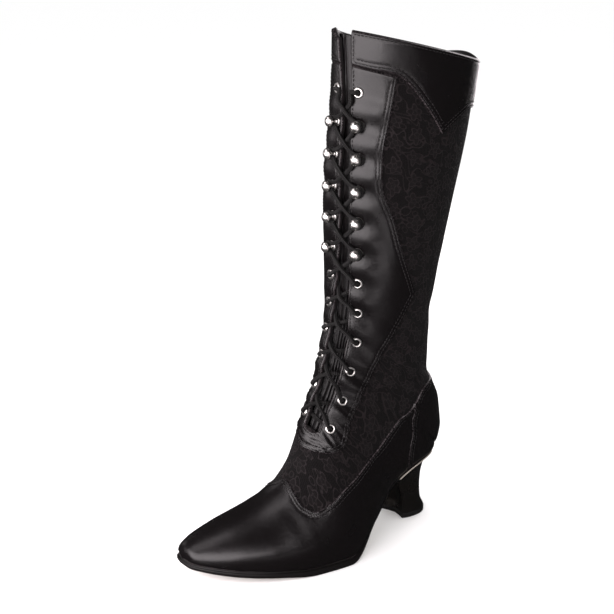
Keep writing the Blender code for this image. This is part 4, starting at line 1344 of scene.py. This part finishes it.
class BOOT_OT_soles(bpy.types.Operator):
    """Makes the outsole with its stepped edge and pale tread, and the insole sock"""
    bl_idname = "boot.make_soles"
    bl_label = "Soles"

    def execute(self, context):
        add_outsole()
        add_insole()
        return {"FINISHED"}


# Heel block: rings from the seat down, with the height at the breast and at the back
HeelRing = namedtuple("HeelRing", "front_x back_x half_width front_z back_z")
HEEL_RINGS = (
    HeelRing(30.0, -16.5, 21.5, 46.0, 59.0),
    HeelRing(21.5, -13.5, 15.5, 37.0, 46.5),
    HeelRing(16.0, -11.5, 11.8, 28.0, 34.0),
    HeelRing(12.8, -11.0, 10.6, 19.5, 22.5),
    HeelRing(12.5, -11.3, 11.2, 12.0, 13.0),
    HeelRing(14.2, -14.0, 14.4, 4.8, 4.8),
)
HEEL_LEVELS = 71
HEEL_WIDEST = 0.35
BREAST_SHARE = 0.86
BREAST_HOLLOW = 1.6

# Squareness and inner lead of the breast at the heel's foot
HEEL_SQUARE = 0.5
BREAST_SKEW = 0.35

# Tread piece: growth past the heel's foot, and height
LIFT_EDGE = ((-0.2, 4.6), (0.15, 4.35), (0.15, 0.5), (-0.2, 0.0))

# Rand: the thin pale bead between the sole and the heel
RAND_REACH = 4.0
RAND_RISE = 0.2
RAND_RADIUS = 0.5
RAND_POINTS = 70

# The sole under the heel, from the waist to the back
SEAT_T = np.linspace(6, SOLE_END, 200)
SEAT = last_rows(SEAT_T)
SEAT_CLEAR = 0.05


def heel_ring(ring, height_at, low=1.0):
    """One ring of the heel: down the outer side to the back, up the inner side and across the breast.

    low is 0 at the seat and 1 at the foot, where the ring is squarer and its breast skewed.
    """
    shares = 1 - np.cos(np.linspace(0, pi / 2, 25))
    shares = np.concatenate([0.5 * shares / shares[-1], 1 - 0.5 * (shares / shares[-1])[-2::-1]])
    front = 1 - (1 - BREAST_SHARE) * ((HEEL_WIDEST - shares) / HEEL_WIDEST)**2
    power = 2.0 + HEEL_SQUARE * low
    back = np.clip(1 - (np.clip(shares - HEEL_WIDEST, 0, 1) / (1 - HEEL_WIDEST))**power, 0, 1)**(1 / power)
    half = ring.half_width * np.where(shares < HEEL_WIDEST, front, back)
    x = ring.front_x + (ring.back_x - ring.front_x) * shares
    side = np.linspace(-1, 1, 13)[1:-1]
    breast_x = ring.front_x - BREAST_HOLLOW * (1 - side**2)
    plan = np.concatenate([np.stack([x, half], 1), np.stack([x, -half], 1)[-2::-1],
                           np.stack([breast_x, side * half[0]], 1)])
    ahead = 1 - (plan[:, 0] - ring.front_x) / (ring.back_x - ring.front_x)
    plan[:, 0] += BREAST_SKEW * low * np.clip(-plan[:, 1], 0, None) * np.clip(ahead, 0, 1)
    return np.concatenate([plan, height_at(plan[:, 0])[:, None]], 1)


def closed_stack(rings):
    """Points and faces of a solid through like rings, with its two ends closed."""
    count = len(rings[0])
    faces = [f[::-1] for f in grid_faces(len(rings), count, ring=True)]
    points = np.concatenate(rings + [rings[0].mean(axis=0)[None], rings[-1].mean(axis=0)[None]])
    top, low, last = len(points) - 2, len(points) - 1, (len(rings) - 1) * count
    for k in range(count):
        after = (k + 1) % count
        faces.append((top, k, after))
        faces.append((low, last + after, last + k))
    return points, faces


def add_heel_block():
    """The covered heel, whose highest rings follow the sole above it."""
    levels = len(HEEL_RINGS) - 1
    rings = []
    for at in np.linspace(0, levels, HEEL_LEVELS):
        ring = HeelRing(*eased(HEEL_RINGS, at)[0])
        seat = max(0.0, 1 - at)**2

        def height_at(x):
            slope = (ring.back_z - ring.front_z) / (ring.back_x - ring.front_x)
            plane = ring.front_z + (x - ring.front_x) * slope
            under = np.interp(x, SEAT.low_x[::-1], SEAT.under_z[::-1]) - SEAT_CLEAR
            return plane + seat * (under - plane)

        rings.append(heel_ring(ring, height_at, (at / levels)**2))
    points, faces = closed_stack(rings)
    add_piece("louis_heel", points, faces, [finish("heel_cover")], ["heel"])


def add_rand():
    """The pale bead round the heel's seat."""
    breast = np.interp(-HEEL_RINGS[0].front_x, -SEAT.low_x, SEAT_T)
    t = np.linspace(breast, SOLE_END, RAND_POINTS)
    height = last_rows(t).under_z[:, None] + RAND_RISE
    outer, inner = (np.concatenate([plan, height], 1) for plan in sole_rim(t, RAND_REACH))
    points, faces, places = sweep(np.concatenate([outer, inner[-2::-1]]), RAND_RADIUS)
    add_piece("heel_seat_rand", points, faces, [finish("sole_tread")], places=places)


def add_top_lift():
    """The tread piece under the heel."""
    foot = HEEL_RINGS[-1]
    rings = []
    for growth, height in LIFT_EDGE:
        ring = foot._replace(front_x=foot.front_x + growth, back_x=foot.back_x - growth,
                             half_width=foot.half_width + growth)
        rings.append(heel_ring(ring, lambda x, z=height: np.full(len(x), z)))
    points, faces = closed_stack(rings)
    add_piece("heel_top_lift", points, faces, [finish("lift_rubber")], ["top_lift"])


class BOOT_OT_heel(bpy.types.Operator):
    """Makes the covered curved heel, the pale rand on its seat and the tread piece under it"""
    bl_idname = "boot.make_heel"
    bl_label = "Heel"

    def execute(self, context):
        add_heel_block()
        add_rand()
        add_top_lift()
        return {"FINISHED"}


# Turned pieces: radius and height pairs, from the bore or the middle of the top outwards and down
EYELET_PROFILE = ((2.15, -1.3), (2.15, 0.2), (2.25, 0.62), (2.5, 0.95), (2.9, 1.08), (3.35, 0.98),
                  (3.8, 0.62), (4.15, 0.2), (4.3, -0.1), (2.6, -0.25), (2.6, -1.3))
HOOK_PROFILE = ((0.0, 9.6), (0.9, 9.53), (1.9, 9.26), (2.8, 8.8), (3.6, 8.1), (4.15, 7.3), (4.3, 6.6),
                (4.1, 6.0), (3.5, 5.5), (2.6, 5.2), (2.0, 4.9), (1.8, 4.3), (1.8, 2.0), (2.1, 1.5),
                (2.9, 1.25), (3.7, 1.1), (4.2, 0.75), (4.35, 0.3), (4.3, -0.1), (0.0, -0.1))
TURN_SIDES = 32
TURN_SHARP = radians(60)


def turned_mesh(name, profile):
    """A turned metal piece about its own Z axis."""
    turn = np.linspace(0, 2 * pi, TURN_SIDES, endpoint=False)
    rings = [np.stack([r * np.cos(turn), r * np.sin(turn), np.full(TURN_SIDES, z)], 1) for r, z in profile]
    bored = profile[0][0] > 0
    if bored:
        rings.append(rings[0])
    faces = grid_faces(len(rings), TURN_SIDES, ring=True)
    points, kept, _ = weld_faces(np.concatenate(rings), faces)
    mesh = bpy.data.meshes.new(name)
    mesh.from_pydata((points * MM).tolist(), [], [f[::-1] for f in kept])
    mesh.materials.append(finish("bright_nickel"))
    mesh.shade_smooth()
    mesh.set_sharp_from_angle(angle=TURN_SHARP)
    return mesh


def station_matrix(t, u, lift):
    """Place on the facing with Z along the skin's normal."""
    axis = Vector(skin_normal(t, u)).to_track_quat("Z", "Y").to_matrix().to_4x4()
    return Matrix.Translation(Vector(surface(t, u, lift)) * MM) @ axis


def numbered_stations(hooks):
    """Number, section and share of the hooks, or of the eyelets, counted from the bottom."""
    chosen = [t for number, t in enumerate(STATION_T, 1) if (number in HOOK_STATIONS) == hooks]
    return [(number, t, station_share(t)) for number, t in enumerate(chosen, 1)]


def add_fastenings(kind, profile, hooks):
    """Every turned piece of one kind, on both sides."""
    mesh = turned_mesh(kind, profile)
    lift = SKIN_CLEAR + sizes_in_mm()["leather"]
    for number, t, u in numbered_stations(hooks):
        for side, sign in (("outer", 1), ("inner", -1)):
            place_piece(f"nickel_{kind}_{side}_{number}", mesh, [f"{kind}_{side}_{number}"],
                        station_matrix(t, sign * u, lift))


class BOOT_OT_eyelets(bpy.types.Operator):
    """Makes the nickel eyelets, low down and at the top"""
    bl_idname = "boot.make_eyelets"
    bl_label = "Eyelets"

    def execute(self, context):
        add_fastenings("eyelet", EYELET_PROFILE, False)
        return {"FINISHED"}


class BOOT_OT_hooks(bpy.types.Operator):
    """Makes the nickel ball hooks between the eyelets"""
    bl_idname = "boot.make_hooks"
    bl_label = "Ball hooks"

    def execute(self, context):
        add_fastenings("hook", HOOK_PROFILE, True)
        return {"FINISHED"}


# The lace's way at a lacing hole and round a hook, in millimetres above the skin and from the stem
UNDER_FACING = -3.85
HOLE_DIP = -1.0
OVER_RIM = 3.9
OVER_LEATHER = 3.1
CROSS_HEIGHT = 2.4
CROSS_APART = 1.62
HOOK_HEIGHT = 4.6
HOOK_TURN = 3.45
HOOK_ANGLES = (60, 115, 180, 245, 300)
LACE_STEP = 1.0

# Stretches of the lace: step along the sections, share of the hole's or throat edge's distance, and height;
# between two stations the step is a share of the way from one to the next
UP_THROUGH = ((-0.02, 1.0, UNDER_FACING), (0.0, 1.0, HOLE_DIP), (0.0, 0.90, OVER_RIM))
DOWN_THROUGH = ((0.0, 0.55, OVER_LEATHER), (0.0, 0.88, OVER_RIM), (0.0, 1.0, HOLE_DIP),
                (0.0, 0.97, UNDER_FACING))
LEAVES_OVER = (0.18, 0.55, OVER_LEATHER)
CROSSES = (0.42, 0.05)
COMES_OVER = (0.70, 0.55, OVER_LEATHER)
DIPS_IN = ((0.56, 0.62, -0.6), (0.68, 1.25, UNDER_FACING))
COMES_UNDER = (0.86, 0.75, UNDER_FACING)
BAR_DROP, BAR_SHARES = 0.05, (0.6, 0.0, -0.6)


def lace_point(t, u, lift):
    """One point of the lace above the skin."""
    return surface(np.array([t]), np.array([u]), lift)[0]


def hook_loop(t, u):
    """Points round a hook's stem, from below to above, on its outer side."""
    along, across = (way / np.linalg.norm(way) for way in tangents(t, u))
    inwards = -np.sign(u) * across
    base = lace_point(t, u, HOOK_HEIGHT)
    return [base + HOOK_TURN * (np.cos(a) * inwards - np.sin(a) * along) for a in np.radians(HOOK_ANGLES)]


def lace_end(first_side):
    """Points of one end of the lace, from the lowest eyelet to the top one."""
    points = []
    side = first_side
    for k, t in enumerate(STATION_T):
        u = side * station_share(t)
        last = k == STATION_COUNT - 1
        if (k + 1) in HOOK_STATIONS:
            points += hook_loop(t, u)
        else:
            way = DOWN_THROUGH if last else UP_THROUGH
            points += [lace_point(t + step, share * u, lift) for step, share, lift in way]
        if last:
            break
        t_next = STATION_T[k + 1]
        u_next = -side * station_share(t_next)
        cross = CROSS_HEIGHT + (CROSS_APART if side > 0 else -CROSS_APART)
        stretch = [(u, LEAVES_OVER), (u, (*CROSSES, cross))]
        if (k + 2) in HOOK_STATIONS or k + 2 == STATION_COUNT:
            stretch.append((u_next, COMES_OVER))
        else:
            edge = -side * float(throat_share(t_next)[0])
            stretch += [(edge, DIPS_IN[0]), (edge, DIPS_IN[1]), (u_next, COMES_UNDER)]
        for at, (step, share, lift) in stretch:
            points.append(lace_point(t + step * (t_next - t), share * at, lift))
        side = -side
    return points


def smooth_points(points, step):
    """Points every step along a smooth curve through some points."""
    knots = np.array(points)
    gaps = np.linalg.norm(np.diff(knots, axis=0), axis=1)
    return smooth_curve(knots, gaps, [max(2, ceil(gap / step)) for gap in gaps])


# Any direction that no cord starts along
ASIDE = (0.3, 0.5, 0.8)
CORD_SIDES = 12


def sweep(path, radius):
    """Points, faces and flat places of a closed round cord along a path."""
    way = unit(np.gradient(path, axis=0))
    normal = np.cross(way[0], ASIDE)
    rings = []
    turn = np.linspace(0, 2 * pi, CORD_SIDES, endpoint=False)
    for point, forward in zip(path, way):
        normal = normal - forward * np.dot(normal, forward)
        normal /= np.linalg.norm(normal)
        other = np.cross(forward, normal)
        rings.append(point + radius * (np.cos(turn)[:, None] * normal + np.sin(turn)[:, None] * other))
    points, faces = closed_stack(rings)
    run = polyline_length(path)
    places = np.stack([np.repeat(run, CORD_SIDES), np.tile(100.0 * turn / (2 * pi), len(path))], -1)
    return points, [f[::-1] for f in faces], np.concatenate([places, [[0.0, 0.0], [run[-1], 0.0]]])


class BOOT_OT_lace(bpy.types.Operator):
    """Runs the lace through the eyelets, across the tongue and round the hooks"""
    bl_idname = "boot.make_lace"
    bl_label = "Lace"

    def execute(self, context):
        t = STATION_T[0]
        u = station_share(t)
        bar = [lace_point(t - BAR_DROP, share * u, UNDER_FACING) for share in BAR_SHARES]
        route = lace_end(1)[::-1] + bar + lace_end(-1)
        points, faces, places = sweep(smooth_points(route, LACE_STEP), 0.5 * sizes_in_mm()["cord"])
        add_piece("boot_lace", points, faces, [finish("braided_cord")], ["lace"],
                  places=places)
        return {"FINISHED"}


# One stitch: share of its length, radius share, along a short arched capsule
STITCH_RINGS = ((-0.5, 0.0), (-0.47, 0.55), (-0.36, 0.95), (0.0, 1.0), (0.36, 0.95), (0.47, 0.55),
                (0.5, 0.0))
STITCH_SIDES = 6
STITCH_ARCH = 0.25
STITCH_SINK = 0.55


def stitch_shape(sizes):
    """Points of one stitch along X with Z up, and its faces."""
    turn = np.linspace(0, 2 * pi, STITCH_SIDES, endpoint=False)
    rings = []
    for along, share in STITCH_RINGS:
        radius = 0.5 * sizes["thread"] * share
        arch = STITCH_ARCH * sizes["thread"] * (1 - (2 * along)**2)
        rings.append(np.stack([np.full(STITCH_SIDES, along * sizes["stitch"]), radius * np.cos(turn),
                               arch + radius * np.sin(turn)], 1))
    points, kept, _ = weld_faces(np.concatenate(rings), grid_faces(len(rings), STITCH_SIDES, ring=True))
    return points, [f[::-1] for f in kept]


def stitch_places(edge, clockwise, row, border, sizes):
    """Sections and shares along one row of stitches, one place for each end of a stitch pitch."""
    path = inset(edge.path, row, clockwise)
    far, _ = border.nearest(path)
    path = path[(far > 0.95 * row) & (np.abs(path[:, 1]) <= 1)]
    run = polyline_length(skin(*path.T))
    marks = np.arange(0.5, run[-1] / sizes["stitch_pitch"]) * sizes["stitch_pitch"]
    return np.stack([np.interp(marks, run, path[:, 0]), np.interp(marks, run, path[:, 1])], -1)


def stitched_rows(edges, top, halves, sizes):
    """Points and faces of all stitches of one leather piece, whose face lies at a height above the skin."""
    _, clockwise = outline_of(edges)
    border = Border([edge.path for edge in edges if edge.rolled])
    shape, shape_faces = stitch_shape(sizes)
    points, faces = [], []
    for edge in edges:
        for row in edge.rows:
            places = stitch_places(edge, clockwise, row, border, sizes)
            if halves:
                places = np.concatenate([places, mirrored(places)])
            centre = surface(*places.T, top - STITCH_SINK * GROOVE_DEPTH)
            normal = skin_normal(*places.T)
            way = np.gradient(centre, axis=0)
            way = unit(way - normal * np.sum(way * normal, axis=1, keepdims=True))
            side = np.cross(normal, way)
            for c, w, s, n in zip(centre, way, side, normal):
                start = len(points) * len(shape)
                faces += [tuple(v + start for v in f) for f in shape_faces]
                points.append(c + shape[:, :1] * w + shape[:, 1:2] * s + shape[:, 2:] * n)
    return np.concatenate(points), faces


class BOOT_OT_stitching(bpy.types.Operator):
    """Sews the rows of stitches along the leather pieces' edges"""
    bl_idname = "boot.make_stitching"
    bl_label = "Stitching"

    def execute(self, context):
        sizes = sizes_in_mm()
        for name, (edges, halves) in leather_pieces().items():
            top = seat_height(name, sizes["leather"]) + sizes["leather"]
            points, faces = stitched_rows(edges, top, halves, sizes)
            add_piece(f"stitching_{name}", points, faces, [finish("sewing_thread")],
                      places=points[:, :2])
        return {"FINISHED"}


# Stage

FLOOR_HALF = 12.0
SENSOR_WIDTH = 36.0
CAMERA_REACH = 100.0

# Softboxes: place, point that they face, width and height in metres, power in watts
Softbox = namedtuple("Softbox", "name place target width height power")
SOFTBOXES = (
    Softbox("front_softbox", (0.82, 0.07, 0.40), (0.05, 0.0, 0.37), 1.15, 0.62, 14.0),
    Softbox("side_softbox", (0.66, 0.73, 0.40), (0.07, 0.02, 0.39), 0.40, 0.24, 1.9),
    Softbox("toe_softbox", (0.50, -0.36, 0.80), (0.17, 0.0, 0.04), 0.40, 0.22, 0.9),
    Softbox("low_card", (0.30, 0.60, 0.004), (0.28, 0.58, 1.0), 0.36, 0.36, 1.2),
    Softbox("inner_card", (0.40, -0.88, 0.28), (0.07, -0.02, 0.36), 0.30, 0.25, 0.3),
    Softbox("back_softbox", (-0.85, -0.50, 0.55), (0.02, 0.0, 0.20), 0.5, 0.9, 4.2),
)

# A trace of warmth, as in the photo's highlights
LAMP_TINT = (1.0, 0.93, 0.95)


def aim(place, target):
    """Matrix of a camera or lamp that looks from a place at a target."""
    turn = (Vector(target) - Vector(place)).to_track_quat("-Z", "Y")
    return Matrix.Translation(place) @ turn.to_matrix().to_4x4()


def add_softbox(box):
    """A rectangular area light that cameras look through."""
    lamp = bpy.data.lights.new(box.name, "AREA")
    lamp.shape = "RECTANGLE"
    lamp.size, lamp.size_y = box.width, box.height
    lamp.energy = box.power
    lamp.color = LAMP_TINT
    made = bpy.data.objects.new(box.name, lamp)
    made.matrix_world = aim(box.place, box.target)
    made.visible_camera = False
    bpy.context.scene.collection.objects.link(made)


def white_surroundings(fill, gloss_fill):
    """A world that is white to the eye and dim in reflections, as between black flags."""
    world = bpy.data.worlds.new("studio")
    world.use_nodes = True
    world.cycles.sampling_method = "NONE"
    tree = world.node_tree
    rays = put(tree, "ShaderNodeLightPath", {})
    strength = sum_up(tree, "MULTIPLY_ADD", rays["Is Glossy Ray"], gloss_fill - fill, fill)
    feed(tree, tree.nodes["Background"], {"Color": rgba((1.0, 1.0, 1.0)), "Strength": strength})
    return world


def add_floor(tint):
    """A wide pale floor that doesn't show in reflections."""
    mesh = bpy.data.meshes.new("studio_floor")
    corners = [(x * FLOOR_HALF, y * FLOOR_HALF, 0.0) for x, y in ((-1, -1), (1, -1), (1, 1), (-1, 1))]
    mesh.from_pydata(corners, [], [(0, 1, 2, 3)])
    material, tree, shader = new_material("studio_floor")
    feed(tree, shader, {"Base Color": rgba(tint), "Roughness": 0.9, "Specular IOR Level": 0.1})
    mesh.materials.append(material)
    floor = bpy.data.objects.new("studio_floor", mesh)
    floor.visible_glossy = False
    bpy.context.scene.collection.objects.link(floor)


def add_camera(stage):
    """The camera of the photo's view."""
    camera = bpy.data.cameras.new("photo_camera")
    camera.lens = stage.focal
    camera.sensor_width = SENSOR_WIDTH
    camera.clip_end = CAMERA_REACH
    made = bpy.data.objects.new("photo_camera", camera)
    made.matrix_world = aim(stage.camera_place, stage.camera_aim)
    bpy.context.scene.collection.objects.link(made)
    bpy.context.scene.camera = made


class BOOT_OT_stage(bpy.types.Operator):
    """Sets the pale floor, the soft studio light and the camera"""
    bl_idname = "boot.make_stage"
    bl_label = "Stage"

    def execute(self, context):
        stage = context.scene.boot_stage
        add_floor(context.scene.boot_colours.floor)
        for box in SOFTBOXES:
            add_softbox(box)
        context.scene.world = white_surroundings(stage.fill, stage.gloss_fill)
        context.scene.view_settings.view_transform = "Standard"
        add_camera(stage)
        return {"FINISHED"}


OPERATORS = (BOOT_OT_stage, BOOT_OT_upper, BOOT_OT_leather, BOOT_OT_tongue, BOOT_OT_soles, BOOT_OT_heel,
             BOOT_OT_eyelets, BOOT_OT_hooks, BOOT_OT_lace, BOOT_OT_stitching)


class BOOT_PT_looks(bpy.types.Panel):
    """Lists the boot's pieces and their settings"""
    bl_idname = "BOOT_PT_looks"
    bl_label = "Boot"
    bl_space_type = "VIEW_3D"
    bl_region_type = "UI"
    bl_category = "Boot"

    def draw(self, context):
        layout = self.layout
        for operator in OPERATORS:
            layout.operator(operator.bl_idname)
        for group in (context.scene.boot_sizes, context.scene.boot_colours, context.scene.boot_stage):
            box = layout.box()
            for key in type(group).__annotations__:
                box.prop(group, key)


CLASSES = (BootSizes, BootColours, BootStage, *OPERATORS, BOOT_PT_looks)


def register():
    """Adds the settings, operators and panel to Blender."""
    for made in CLASSES:
        bpy.utils.register_class(made)
    bpy.types.Scene.boot_sizes = PointerProperty(type=BootSizes)
    bpy.types.Scene.boot_colours = PointerProperty(type=BootColours)
    bpy.types.Scene.boot_stage = PointerProperty(type=BootStage)


def unregister():
    """Takes them away again."""
    del bpy.types.Scene.boot_stage
    del bpy.types.Scene.boot_colours
    del bpy.types.Scene.boot_sizes
    for made in reversed(CLASSES):
        bpy.utils.unregister_class(made)


def main():
    """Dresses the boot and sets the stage."""
    register()
    make_grain_group()
    make_handling_highlight_group()
    make_lace_group()
    bpy.ops.boot.make_stage()
    bpy.ops.boot.make_upper()
    bpy.ops.boot.make_leather()
    bpy.ops.boot.make_tongue()
    bpy.ops.boot.make_soles()
    bpy.ops.boot.make_heel()
    bpy.ops.boot.make_eyelets()
    bpy.ops.boot.make_hooks()
    bpy.ops.boot.make_lace()
    bpy.ops.boot.make_stitching()


if __name__ == "__main__":
    main()
